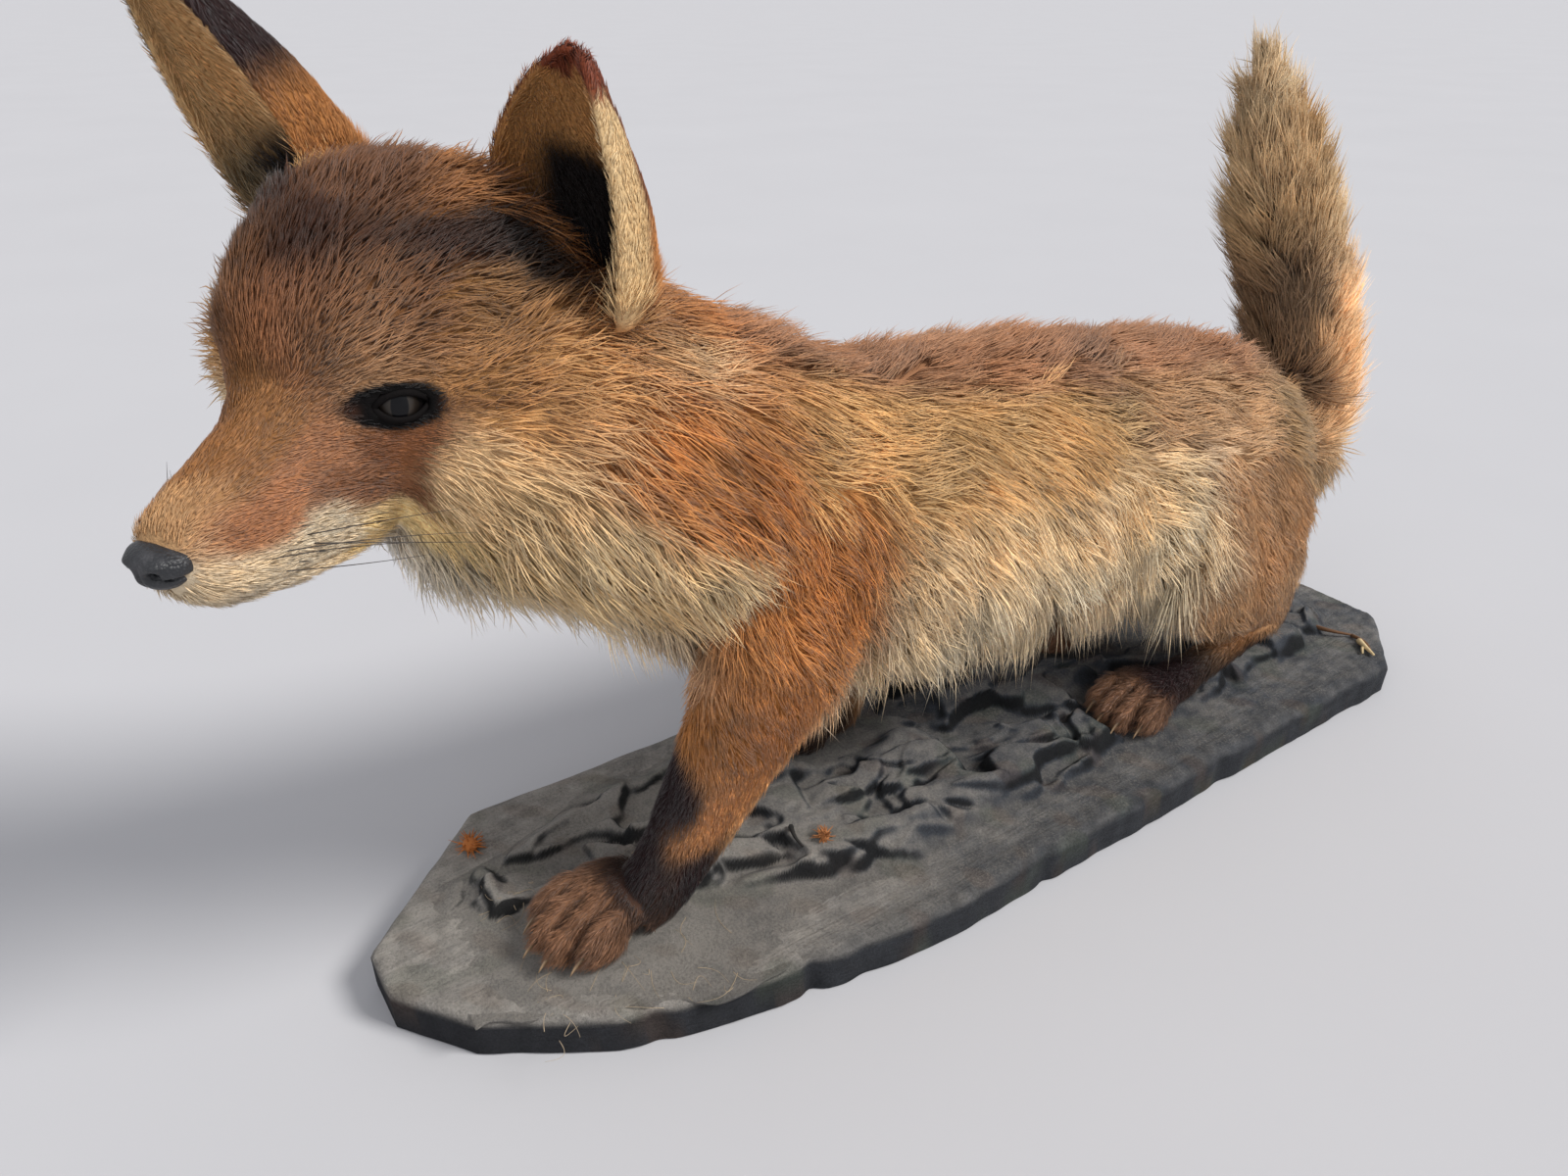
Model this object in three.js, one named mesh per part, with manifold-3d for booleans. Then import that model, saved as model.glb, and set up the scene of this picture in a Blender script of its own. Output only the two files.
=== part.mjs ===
// A mounted red fox, life size, stalking forward on a dark modelled ground board.
// Millimetres, +Z up. The fox faces -Y and its left side is +X. The origin is the
// middle of the board's underside. Every flesh solid reaches out to the coat's tips.

import * as THREE from 'three';
import { mergeVertices } from 'three/addons/utils/BufferGeometryUtils.js';
import Module from 'manifold-3d';

const wasm = await Module();
wasm.setup();

// ---------------------------------------------------------------- driving sizes

const GAP = 0.3; // thin cut between two neighbouring pieces
const EAR_GAP = 0.6; // cut between an ear and the head that carries it

const BOARD = { thick: 24, bevel: 2.5, inset: 3 }; // the outline below gives length and width
const GROUND_TOP = BOARD.thick + GAP; // level on which the modelled ground lies
const PAW_LEVEL = BOARD.thick + 3.5; // level of the soles, on the modelled ground

const HEAD = {
  at: [20.6, -325.4, 317], // midpoint between the eyes
  forward: [0.554, -0.827, -0.095], // the head is turned to the fox's left
  left: [0.823, 0.561, -0.08],
};
const EYE = { side: 26.5, front: -1.5, up: -2.5, radius: 10.5 };
const SOCKET = { side: 34, front: 5, up: -2, halves: [14, 7, 7.5], turn: -48 };
const NOSE = { front: 74, up: -26.5, wide: 10.5, long: 9.5, high: 8.2 };
const EAR_WALL = 3.2; // thickness of the furred ear wall
const CLAW = { radius: 1.9, length: 12, tilt: 0.42 };

// ---------------------------------------------------------------- solid helpers

/** Manifold solid of a closed three.js geometry. */
function solidOf(geometry) {
  const bare = geometry.index ? geometry.clone() : geometry;
  bare.deleteAttribute('normal');
  bare.deleteAttribute('uv');
  const merged = mergeVertices(bare, 1e-4);
  return new wasm.Manifold(new wasm.Mesh({
    numProp: 3,
    vertProperties: new Float32Array(merged.attributes.position.array),
    triVerts: new Uint32Array(merged.index.array),
  }));
}

/** three.js geometry of a manifold solid. */
function geometryOf(solid) {
  const mesh = solid.getMesh();
  const geometry = new THREE.BufferGeometry();
  geometry.setAttribute('position', new THREE.BufferAttribute(new Float32Array(mesh.vertProperties), 3));
  geometry.setIndex(new THREE.BufferAttribute(new Uint32Array(mesh.triVerts), 1));
  geometry.computeVertexNormals();
  return geometry;
}

/** One solid from many. */
const join = (solids) => solids.reduce((sum, solid) => sum.add(solid));

/** Signed power, which squares off or sharpens a sine. */
const shaped = (value, power) => Math.sign(value) * Math.abs(value) ** power;

/**
 * Closed body carried along a smooth path. Each station holds its centre `at`, its half
 * width `wide`, and its reach `up` and `down` along the reference direction.
 */
function loft(stations, { toward, sides, steps, square = 2, grow = 0 }) {
  const path = new THREE.CatmullRomCurve3(stations.map((s) => new THREE.Vector3(...s.at)));
  const reach = new THREE.CatmullRomCurve3(
    stations.map((s) => new THREE.Vector3(s.wide, s.up, s.down ?? s.up)),
  );
  path.curveType = 'catmullrom';
  reach.curveType = 'catmullrom';
  const reference = new THREE.Vector3(...toward);
  const points = [];
  for (let i = 0; i <= steps; i += 1) {
    const centre = path.getPoint(i / steps);
    const along = path.getTangent(i / steps);
    const upward = reference.clone().addScaledVector(along, -reference.dot(along)).normalize();
    const sideways = upward.clone().cross(along);
    const size = reach.getPoint(i / steps);
    for (let k = 0; k < sides; k += 1) {
      const angle = (2 * Math.PI * k) / sides;
      const high = shaped(Math.sin(angle), 2 / square);
      const across = shaped(Math.cos(angle), 2 / square);
      const rise = high * (Math.max(high > 0 ? size.y : size.z, 0.5) + grow);
      const spread = across * (Math.max(size.x, 0.5) + grow);
      points.push(centre.clone().addScaledVector(upward, rise).addScaledVector(sideways, spread));
    }
  }
  return closedRings(points, sides, steps + 1, path.getPoint(0), path.getPoint(1));
}

/** Solid from rings of points, closed by a fan at each end. */
function closedRings(points, sides, rings, first, last) {
  const all = [...points, first, last];
  const index = [];
  for (let i = 0; i < rings - 1; i += 1) {
    for (let k = 0; k < sides; k += 1) {
      const a = i * sides + k;
      const b = i * sides + ((k + 1) % sides);
      index.push(a, b, a + sides, b, b + sides, a + sides);
    }
  }
  const foot = all.length - 2;
  const tip = all.length - 1;
  const lastRing = (rings - 1) * sides;
  for (let k = 0; k < sides; k += 1) {
    const next = (k + 1) % sides;
    index.push(foot, next, k, tip, lastRing + k, lastRing + next);
  }
  const geometry = new THREE.BufferGeometry().setFromPoints(all);
  geometry.setIndex(index);
  return solidOf(geometry);
}

/** Ball stretched to three half sizes, turned and placed. */
function ball(centre, halves, [across, around] = [12, 8], turn = new THREE.Matrix4()) {
  const geometry = new THREE.SphereGeometry(1, across, around);
  geometry.scale(...halves);
  geometry.applyMatrix4(turn);
  geometry.translate(...centre);
  return solidOf(geometry);
}

/** Box between two corners, in a turned frame when one is given. */
function block(low, high, frame = new THREE.Matrix4(), grow = 0) {
  const size = high.map((value, i) => value - low[i] + 2 * grow);
  const geometry = new THREE.BoxGeometry(...size);
  geometry.translate(...high.map((value, i) => (value + low[i]) / 2));
  geometry.applyMatrix4(frame);
  return solidOf(geometry);
}

// ---------------------------------------------------------------- the head's own frame

const headForward = new THREE.Vector3(...HEAD.forward).normalize();
const headUp = new THREE.Vector3(...HEAD.left).cross(headForward).negate().normalize();
const headLeft = headUp.clone().cross(headForward);
const headFrame = new THREE.Matrix4()
  .makeBasis(headLeft, headForward.clone().negate(), headUp)
  .setPosition(...HEAD.at);

const headTurn = new THREE.Matrix4().extractRotation(headFrame);

/** Point of the head, from its reach to the left, forward and up from between the eyes. */
function onHead(left, front, up) {
  return new THREE.Vector3(left, -front, up).applyMatrix4(headFrame).toArray();
}

/** Stations of skull and muzzle: reach in front of the eyes, half width, top and bottom. */
const SKULL_STATIONS = [
  [-104, 34, 16, -34],
  [-88, 54, 46, -52],
  [-68, 62, 60, -62],
  [-46, 63, 64, -68],
  [-28, 56, 57, -68],
  [-13, 45, 44, -66],
  [-2, 35, 29, -64],
  [10, 28, 15, -63],
  [26, 22.5, 4, -61],
  [44, 20, -3.5, -56],
  [60, 17.5, -8.5, -50],
  [71, 14, -14, -43],
  [76, 8, -20, -36],
];
/** Cheek ruff of long hair on each side, behind and below the eye. */
const RUFF = { side: 46, back: 50, down: 20, halves: [40, 46, 52] };

/** The head out to the tips of its coat. */
function headShape(grow = 0) {
  const stations = SKULL_STATIONS.map(([front, wide, top, bottom]) => ({
    at: onHead(0, front, (top + bottom) / 2),
    wide,
    up: (top - bottom) / 2,
  }));
  const skull = loft(stations, { toward: headUp.toArray(), sides: 16, steps: 16, square: 2.1, grow });
  const halves = RUFF.halves.map((half) => half + grow);
  const cheeks = [1, -1].map((side) => (
    ball(onHead(side * RUFF.side, -RUFF.back, -RUFF.down), halves, [11, 7], headTurn)
  ));
  return join([skull, ...cheeks]);
}

function noseShape(grow = 0) {
  const halves = [NOSE.wide + grow, NOSE.long + grow, NOSE.high + grow];
  return ball(onHead(0, NOSE.front, NOSE.up), halves, [10, 7], headTurn);
}

function eyeShape(side, grow = 0) {
  const radius = EYE.radius + grow;
  return ball(onHead(side * EYE.side, EYE.front, EYE.up), [radius, radius, radius], [10, 7]);
}

/** Almond hollow in front of the eyeball, between the lids. */
function socketShape(side) {
  const slant = new THREE.Matrix4().makeRotationZ(side * THREE.MathUtils.degToRad(SOCKET.turn));
  const turn = headTurn.clone().multiply(slant);
  return ball(onHead(side * SOCKET.side, SOCKET.front, SOCKET.up), SOCKET.halves, [8, 5], turn);
}

/**
 * Cupped ear: rows of an arc that opens forward and outward, from the wide foot to the
 * tip, with a wall of even thickness.
 */
function earShape({ foot, tip, opening, widths, depths, lean }) {
  const rows = widths.length - 1;
  const columns = 8;
  const root = new THREE.Vector3(...onHead(...foot));
  const peak = new THREE.Vector3(...onHead(...tip));
  const bend = root.clone().lerp(peak, 0.55).add(
    new THREE.Vector3(...lean).applyMatrix4(headTurn),
  );
  const spine = new THREE.QuadraticBezierCurve3(root, bend, peak);
  const open = new THREE.Vector3(opening[0], -opening[1], opening[2])
    .applyMatrix4(headTurn);
  const points = [];
  for (let i = 0; i <= rows; i += 1) {
    const centre = spine.getPoint(i / rows);
    const along = spine.getTangent(i / rows);
    const front = open.clone().addScaledVector(along, -open.dot(along)).normalize();
    const across = along.clone().cross(front);
    const outer = [];
    const inner = [];
    for (let k = 0; k <= columns; k += 1) {
      const angle = Math.PI * (k / columns);
      const wide = widths[i];
      const deep = depths[i];
      const wall = EAR_WALL * Math.min(1, 0.45 + wide / 30);
      outer.push(centre.clone()
        .addScaledVector(across, wide * Math.cos(angle))
        .addScaledVector(front, -deep * Math.sin(angle)));
      inner.push(centre.clone()
        .addScaledVector(across, Math.max(wide - wall, 0.6) * Math.cos(angle))
        .addScaledVector(front, wall * 0.4 - Math.max(deep - wall, 0.3) * Math.sin(angle)));
    }
    points.push(...outer, ...inner.reverse());
  }
  const sides = 2 * (columns + 1);
  return { points, sides, rings: rows + 1, root, peak };
}

/** Ear solid, cut to stand a thin gap off the head and neck that carry it. */
function ear(shape, seat) {
  const { points, sides, rings, root, peak } = earShape(shape);
  return closedRings(points, sides, rings, root, peak).subtract(seat);
}

// ---------------------------------------------------------------- trunk, neck and tail

/** Stations along the body: y, centre height, half width, reach up and reach down. */
const TRUNK_STATIONS = [
  [-236, 246, 26, 26, 34],
  [-216, 243, 54, 62, 64],
  [-186, 237, 68, 80, 74],
  [-150, 225, 74, 77, 82],
  [-110, 212, 75, 73, 86],
  [-60, 203, 73, 78, 91],
  [-10, 198, 71, 81, 90],
  [50, 191, 70, 79, 90],
  [110, 184, 71, 76, 90],
  [160, 177, 70, 73, 86],
  [205, 167, 64, 60, 68],
  [235, 159, 50, 45, 52],
  [256, 153, 34, 31, 38],
  [272, 149, 16, 14, 18],
];

function trunkShape() {
  const stations = TRUNK_STATIONS.map(([y, z, wide, up, down]) => ({ at: [0, y, z], wide, up, down }));
  return loft(stations, { toward: [0, 0, 1], sides: 16, steps: 14, square: 2.15 });
}

function neckShape(grow = 0) {
  const stations = [
    { at: [-1, -310, 315], wide: 52, up: 40, down: 52 },
    { at: [0, -278, 298], wide: 76, up: 66, down: 70 },
    { at: [0, -245, 276], wide: 80, up: 74, down: 72 },
    { at: [0, -210, 256], wide: 78, up: 74, down: 70 },
    { at: [0, -175, 240], wide: 74, up: 68, down: 70 },
    { at: [0, -140, 226], wide: 50, up: 44, down: 50 },
  ];
  return loft(stations, { toward: [0, 0, 1], sides: 16, steps: 7, grow });
}

/** Tail: a short root out of the rump, and the upright brush, hanging full at its foot. */
function tailShape() {
  const root = [
    { at: [0, 236, 176], wide: 16, up: 16 },
    { at: [0, 256, 170], wide: 24, up: 24 },
    { at: [-3, 280, 162], wide: 28, up: 27, down: 30 },
    { at: [-7, 304, 158], wide: 26, up: 24, down: 28 },
  ];
  const brush = [
    { at: [-2, 298, 110], wide: 9, up: 8, down: 10 },
    { at: [-4, 301, 121], wide: 25, up: 22, down: 25 },
    { at: [-8, 306, 146], wide: 36, up: 32, down: 35 },
    { at: [-13, 308, 180], wide: 38, up: 35, down: 38 },
    { at: [-19, 305, 216], wide: 38, up: 35, down: 38 },
    { at: [-27, 296, 254], wide: 37, up: 34, down: 36 },
    { at: [-36, 282, 294], wide: 34, up: 31, down: 33 },
    { at: [-43, 270, 332], wide: 27, up: 25, down: 27 },
    { at: [-48, 261, 361], wide: 16, up: 14, down: 16 },
    { at: [-51, 256, 381], wide: 4, up: 4, down: 4 },
  ];
  return loft(root, { toward: [0, 0, 1], sides: 10, steps: 4 })
    .add(loft(brush, { toward: [0, -1, 0], sides: 12, steps: 14 }));
}

// ---------------------------------------------------------------- legs

/** Leg from its root in the body to the paw: `up` reaches forward, `down` backward. */
function limb(stations) {
  const listed = stations.map(([x, y, z, wide, up, down]) => ({ at: [x, y, z], wide, up, down }));
  return loft(listed, { toward: [0, -1, 0], sides: 10, steps: stations.length + 1 });
}

/** Paw with four clawed toes; `heading` turns it, in degrees, to the fox's left. */
function paw({ at, heading, wide, long, high }) {
  const turn = new THREE.Matrix4().makeRotationZ(THREE.MathUtils.degToRad(heading));
  const place = (side, front, up) => {
    const spot = new THREE.Vector3(side, -front, up).applyMatrix4(turn);
    return [at[0] + spot.x, at[1] + spot.y, at[2] + spot.z];
  };
  const parts = [ball(place(0, -4, high * 0.5), [wide * 0.5, long * 0.42, high * 0.5], [9, 5], turn)];
  const toeWide = wide * 0.155;
  for (const lane of [-1.5, -0.5, 0.5, 1.5]) {
    const inner = Math.abs(lane) < 1;
    const front = long * (inner ? 0.36 : 0.22);
    const side = lane * toeWide * 1.72;
    parts.push(ball(place(side, front, high * 0.36), [toeWide, long * 0.21, high * 0.36], [6, 3], turn));
    const claw = new THREE.ConeGeometry(CLAW.radius, CLAW.length, 4);
    claw.rotateX(Math.PI / 2 + CLAW.tilt);
    claw.rotateZ(Math.PI);
    claw.applyMatrix4(turn);
    claw.translate(...place(side, front + long * 0.2, high * 0.3));
    parts.push(solidOf(claw));
  }
  return join(parts);
}

const FORE_LEFT = [
  [44, -148, 212, 26, 42, 44],
  [45, -158, 180, 28, 46, 42],
  [42, -168, 150, 25, 43, 40],
  [36, -182, 120, 22, 33, 34],
  [31, -196, 92, 19, 26, 29],
  [27, -210, 64, 17, 21, 25],
  [24, -222, 44, 17, 19, 20],
  [22, -232, 36, 17, 16, 14],
];
const FORE_RIGHT = [
  [-44, -132, 212, 26, 42, 42],
  [-47, -112, 180, 27, 40, 40],
  [-49, -92, 150, 24, 35, 36],
  [-51, -74, 120, 21, 27, 29],
  [-52, -62, 92, 18, 22, 24],
  [-52, -55, 64, 16, 20, 20],
  [-52, -56, 44, 16, 19, 17],
  [-52, -62, 36, 16, 16, 13],
];
/** Hind leg down to the hock: hip, thigh, knee, shank, hock. */
const hindLeg = (side, shift) => [
  [side * 30, 190, 190, 36, 46, 34],
  [side * 42, 180 + shift, 158, 36, 72, 56],
  [side * 50, 178 + shift, 128, 31, 74, 62],
  [side * 53, 190 + shift, 102, 24, 58, 50],
  [side * 53, 206 + shift, 80, 15, 30, 38],
  [side * 52, 220 + shift, 63, 11, 14, 20],
  [side * 51, 221 + shift, 50, 8, 9, 10],
];
/** Long hind foot from the hock forward to the paw. */
const hindFoot = (side, shift) => [
  [side * 51.5, 230 + shift, 62, 7, 7, 6],
  [side * 51, 218 + shift, 60, 11, 11, 10],
  [side * 49.5, 190 + shift, 50, 10.5, 10.5, 10],
  [side * 48, 160 + shift, 42, 11, 10, 10],
  [side * 47, 136 + shift, 38, 15, 10, 11],
  [side * 46.5, 120 + shift, 36, 15, 8, 8],
];
const footLoft = (stations) => {
  const listed = stations.map(([x, y, z, wide, up, down]) => ({ at: [x, y, z], wide, up, down }));
  return loft(listed, { toward: [0, 0, 1], sides: 8, steps: 6 });
};

const HIND_SHIFT = { left: 0, right: 26 };
const PAWS = {
  foreLeft: { at: [17, -248, PAW_LEVEL], heading: 12, wide: 46, long: 62, high: 25 },
  foreRight: { at: [-54, -72, PAW_LEVEL], heading: -4, wide: 44, long: 60, high: 25 },
  hindLeft: { at: [46, 107, PAW_LEVEL], heading: 8, wide: 42, long: 58, high: 23 },
  hindRight: { at: [-46, 107 + HIND_SHIFT.right, PAW_LEVEL], heading: -4, wide: 42, long: 58, high: 23 },
};

// ---------------------------------------------------------------- the base

/** Outline of the board, seen from above, with its cut corners. */
const BOARD_OUTLINE = [
  [-34, -348], [-2, -348], [34, -322], [70, -268], [79, -244], [97, -160], [104, -100],
  [104, 100], [104, 296], [64, 348], [-20, 348], [-78, 330], [-104, 282], [-104, 100],
  [-104, -272], [-62, -318],
];

function boardSolid() {
  const outline = new THREE.Shape(BOARD_OUTLINE.map(([x, y]) => {
    const away = new THREE.Vector2(x, y);
    return away.setLength(away.length() - BOARD.inset);
  }));
  const geometry = new THREE.ExtrudeGeometry(outline, {
    depth: BOARD.thick - 2 * BOARD.bevel,
    bevelThickness: BOARD.bevel,
    bevelSize: BOARD.bevel,
    bevelSegments: 2,
    steps: 1,
  });
  geometry.translate(0, 0, BOARD.bevel);
  return solidOf(geometry);
}

/** The modelled ground: where it starts, its length, and the rows and columns of its relief. */
const GROUND = { start: -322, length: 650, rows: 24, columns: 8 };
/** Folds of the modelled ground: middle, half length, half width, turn in degrees, height. */
const FOLDS = [
  [-52, -250, 60, 16, 60, 7],
  [-70, -180, 55, 13, 95, 6],
  [-20, -175, 60, 14, 70, 7],
  [26, -120, 70, 16, 72, 9],
  [-25, -110, 55, 14, 115, 8],
  [48, -45, 62, 17, 84, 10],
  [-4, -30, 65, 18, 60, 9],
  [-70, -20, 55, 14, 100, 7],
  [40, 30, 58, 15, 105, 9],
  [-20, 60, 70, 18, 75, 9],
  [20, 150, 60, 15, 60, 8],
  [-60, 120, 60, 15, 95, 7],
  [60, 190, 55, 14, 80, 7],
  [-10, 230, 65, 16, 110, 8],
  [30, 285, 50, 14, 70, 6],
  [-50, 280, 45, 13, 85, 5],
];

/** Height of the modelled ground over the board, at a place seen from above. */
function groundHeight(x, y) {
  let height = 1.6;
  for (const [cx, cy, long, wide, turn, high] of FOLDS) {
    const angle = THREE.MathUtils.degToRad(turn);
    const along = ((x - cx) * Math.cos(angle) + (y - cy) * Math.sin(angle)) / long;
    const across = (-(x - cx) * Math.sin(angle) + (y - cy) * Math.cos(angle)) / wide;
    height += high * 0.8 * Math.exp(-(along ** 2) * 1.6 - across ** 2);
  }
  for (const { at } of Object.values(PAWS)) {
    const off = Math.hypot(x - at[0], y - at[1]) / 40;
    const flat = Math.exp(-(off ** 4));
    height = height * (1 - flat) + 2.2 * flat;
  }
  return height;
}

/** Level beds in the ground, one under each paw. */
function pawBeds() {
  return join(Object.values(PAWS).map(({ at, long }) => {
    const bed = new THREE.CylinderGeometry(long * 0.72, long * 0.72, 30, 10);
    bed.rotateX(Math.PI / 2);
    bed.translate(at[0], at[1] + 6, PAW_LEVEL - GAP + 15);
    return solidOf(bed);
  }));
}

/** The ground as a closed relief: a strip down the board, thinning out to its rim. */
function groundSolid() {
  const along = GROUND.rows;
  const across = GROUND.columns;
  const top = [];
  for (let i = 0; i <= along; i += 1) {
    const y = GROUND.start + (GROUND.length * i) / along;
    const nose = Math.min(1, Math.min(i + 1.2, along - i + 1.2) / 5);
    const left = (62 + 7 * Math.sin(y / 43) + 4 * Math.sin(y / 19)) * Math.sqrt(nose);
    const right = (-84 + 5 * Math.sin(y / 37 + 2) + 3 * Math.sin(y / 15)) * Math.sqrt(nose);
    for (let k = 0; k <= across; k += 1) {
      const x = right + ((left - right) * k) / across;
      const rim = Math.min(1, (Math.min(k, across - k) + 0.35) / 1.6) * Math.min(1, nose * 2.4);
      top.push([x, y, GROUND_TOP + 0.8 + rim * groundHeight(x, y)]);
    }
  }
  const columns = across + 1;
  const count = top.length;
  const all = [...top, ...top.map(([x, y]) => [x, y, GROUND_TOP])];
  const index = [];
  for (let i = 0; i < along; i += 1) {
    for (let k = 0; k < across; k += 1) {
      const a = i * columns + k;
      const c = a + columns;
      index.push(a, a + 1, c, a + 1, c + 1, c);
      index.push(count + a, count + c, count + a + 1, count + a + 1, count + c, count + c + 1);
    }
  }
  const rimLoop = [];
  for (let k = 0; k < across; k += 1) rimLoop.push(k);
  for (let i = 0; i < along; i += 1) rimLoop.push(i * columns + across);
  for (let k = across; k > 0; k -= 1) rimLoop.push(along * columns + k);
  for (let i = along; i > 0; i -= 1) rimLoop.push(i * columns);
  rimLoop.forEach((a, n) => {
    const b = rimLoop[(n + 1) % rimLoop.length];
    index.push(a, count + a, b, b, count + a, count + b);
  });
  const geometry = new THREE.BufferGeometry().setFromPoints(all.map((p) => new THREE.Vector3(...p)));
  geometry.setIndex(index);
  return solidOf(geometry);
}

// ---------------------------------------------------------------- the whole fox, parted

const MATERIALS = {
  coat: new THREE.MeshStandardMaterial({ color: 0xa8703c, roughness: 0.9 }),
  earCoat: new THREE.MeshStandardMaterial({ color: 0x8a5a34, roughness: 0.9 }),
  darkCoat: new THREE.MeshStandardMaterial({ color: 0x4a2c1c, roughness: 0.9 }),
  nose: new THREE.MeshStandardMaterial({ color: 0x1c1d20, roughness: 0.4 }),
  eye: new THREE.MeshStandardMaterial({ color: 0x1a1613, roughness: 0.1 }),
  board: new THREE.MeshStandardMaterial({ color: 0x2b2d2b, roughness: 0.85 }),
  ground: new THREE.MeshStandardMaterial({ color: 0x3a3a36, roughness: 0.95 }),
};

const legs = [
  limb(FORE_LEFT), limb(FORE_RIGHT),
  limb(hindLeg(1, HIND_SHIFT.left)), limb(hindLeg(-1, HIND_SHIFT.right)),
  footLoft(hindFoot(1, HIND_SHIFT.left)), footLoft(hindFoot(-1, HIND_SHIFT.right)),
];
const paws = Object.values(PAWS).map(paw);
const sockets = [noseShape(GAP), ...[1, -1].flatMap((side) => [eyeShape(side, GAP), socketShape(side)])];
const underSoles = block([-200, -400, -50], [200, 400, PAW_LEVEL]);
const flesh = join([trunkShape(), neckShape(), headShape(), tailShape(), ...legs, ...paws])
  .subtract(join([...sockets, underSoles]));

/** Frame with its Z axis along a direction, for a cut across that direction. */
function cutFrame(point, direction) {
  const turn = new THREE.Quaternion().setFromUnitVectors(
    new THREE.Vector3(0, 0, 1),
    new THREE.Vector3(...direction).normalize(),
  );
  return new THREE.Matrix4().makeRotationFromQuaternion(turn).setPosition(...point);
}

/** Regions that part the body, in the order in which they are cut off. */
const REGIONS = [
  ['lower_jaw', [-60, -90, -95], [60, -8, -44], headFrame, 'coat'],
  ['head', [-140, -120, -92], [140, 76, 130], headFrame, 'coat'],
  ['neck', [-140, -160, 0], [140, 160, 200], cutFrame([0, -184, 250], [0, -1, 0.42]), 'coat'],
  ['tail', [-120, -260, 0], [120, 260, 200], cutFrame([0, 268, 160], [0, 1, 0.36]), 'coat'],
  ['fore_paw_left', [-40, -300, 0], [90, -170, 52], undefined, 'darkCoat'],
  ['fore_paw_right', [-110, -125, 0], [-10, -20, 52], undefined, 'darkCoat'],
  ['fore_leg_left', [8, -260, 52], [110, -110, 152], undefined, 'coat'],
  ['fore_leg_right', [-110, -150, 52], [-8, -20, 152], undefined, 'coat'],
  ['hind_foot_left', [8, 60, 0], [110, 260, 70], undefined, 'darkCoat'],
  ['hind_foot_right', [-110, 90, 0], [-8, 300, 70], undefined, 'darkCoat'],
  ['thigh_left', [16, 120, 70], [130, 330, 214], undefined, 'coat'],
  ['thigh_right', [-130, 120, 70], [-16, 330, 214], undefined, 'coat'],
];

const group = new THREE.Group();

function addPiece(name, solid, material) {
  const mesh = new THREE.Mesh(geometryOf(solid), MATERIALS[material]);
  mesh.name = name;
  group.add(mesh);
}

let rest = flesh;
for (const [name, low, high, frame, material] of REGIONS) {
  addPiece(name, rest.intersect(block(low, high, frame)), material);
  rest = rest.subtract(block(low, high, frame, GAP));
}
addPiece('trunk', rest, 'coat');

addPiece('nose', noseShape(), 'nose');
addPiece('eye_left', eyeShape(1), 'eye');
addPiece('eye_right', eyeShape(-1), 'eye');

const earSeat = headShape(EAR_GAP).add(neckShape(EAR_GAP));
addPiece('ear_left', ear({
  foot: [52, -64, 8], tip: [63, -65, 92], opening: [-0.35, 1, 0.1], lean: [-8, -2, 0],
  widths: [31, 35, 36, 34, 28, 19, 6], depths: [26, 30, 29, 25, 19, 12, 4],
}, earSeat), 'earCoat');
addPiece('ear_right', ear({
  foot: [-50, -62, 18], tip: [-97, -49, 112], opening: [-0.45, 1, 0.1], lean: [4, -2, 0],
  widths: [31, 35, 36, 33, 27, 18, 5], depths: [26, 30, 29, 25, 19, 12, 4],
}, earSeat), 'earCoat');

addPiece('base_board', boardSolid(), 'board');
addPiece('base_ground', groundSolid().subtract(pawBeds()), 'ground');

export default group;
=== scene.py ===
# %% [markdown]
# # A mounted red fox on its ground board
# The real thing is a tanned fox skin drawn over a form, with glass eyes, standing on a
# dark wooden board dressed with modelled ground. The solids give its size and reach.
# Here the skin, the coat and the finishes are made. All shapes are worked out in
# millimetres and become metres only when a mesh is made. The fox faces -Y, its left
# side is +X, and the board stands on z = 0.

# %% Load the frame
import bpy
import numpy as np
from mathutils import Matrix


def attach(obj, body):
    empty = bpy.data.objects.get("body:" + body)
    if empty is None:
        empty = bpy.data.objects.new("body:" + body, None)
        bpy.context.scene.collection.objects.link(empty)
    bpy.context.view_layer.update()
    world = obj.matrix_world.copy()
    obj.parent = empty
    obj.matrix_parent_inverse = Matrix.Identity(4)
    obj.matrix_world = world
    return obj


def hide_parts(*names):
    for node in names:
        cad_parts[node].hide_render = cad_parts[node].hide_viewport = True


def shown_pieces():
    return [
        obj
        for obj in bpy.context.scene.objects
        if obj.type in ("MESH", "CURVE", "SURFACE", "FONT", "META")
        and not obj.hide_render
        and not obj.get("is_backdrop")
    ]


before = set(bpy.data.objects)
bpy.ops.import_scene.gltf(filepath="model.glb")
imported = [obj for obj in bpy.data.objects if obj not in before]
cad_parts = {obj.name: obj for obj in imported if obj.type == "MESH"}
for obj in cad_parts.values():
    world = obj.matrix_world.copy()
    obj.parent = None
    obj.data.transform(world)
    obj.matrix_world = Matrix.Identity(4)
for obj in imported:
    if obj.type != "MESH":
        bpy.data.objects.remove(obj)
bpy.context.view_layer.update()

# %% [markdown]
# ## The camera
# The view comes first, because every later choice is looked at through it. A level
# heading and a pitch give the view direction; the lens follows from the focal length in
# picture widths. The picture is 1600 by 1200.

# %% Place the camera
VIEW_FROM = np.array([0.390, -0.399, 0.430])
VIEW_HEADING = np.array([-0.8234, 0.5673, 0.0])
VIEW_PITCH = np.radians(29.0)
PICTURE_WIDTH = 1600
FOCAL_PIXELS = 1130.0
SENSOR = 36.0  # mm

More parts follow.
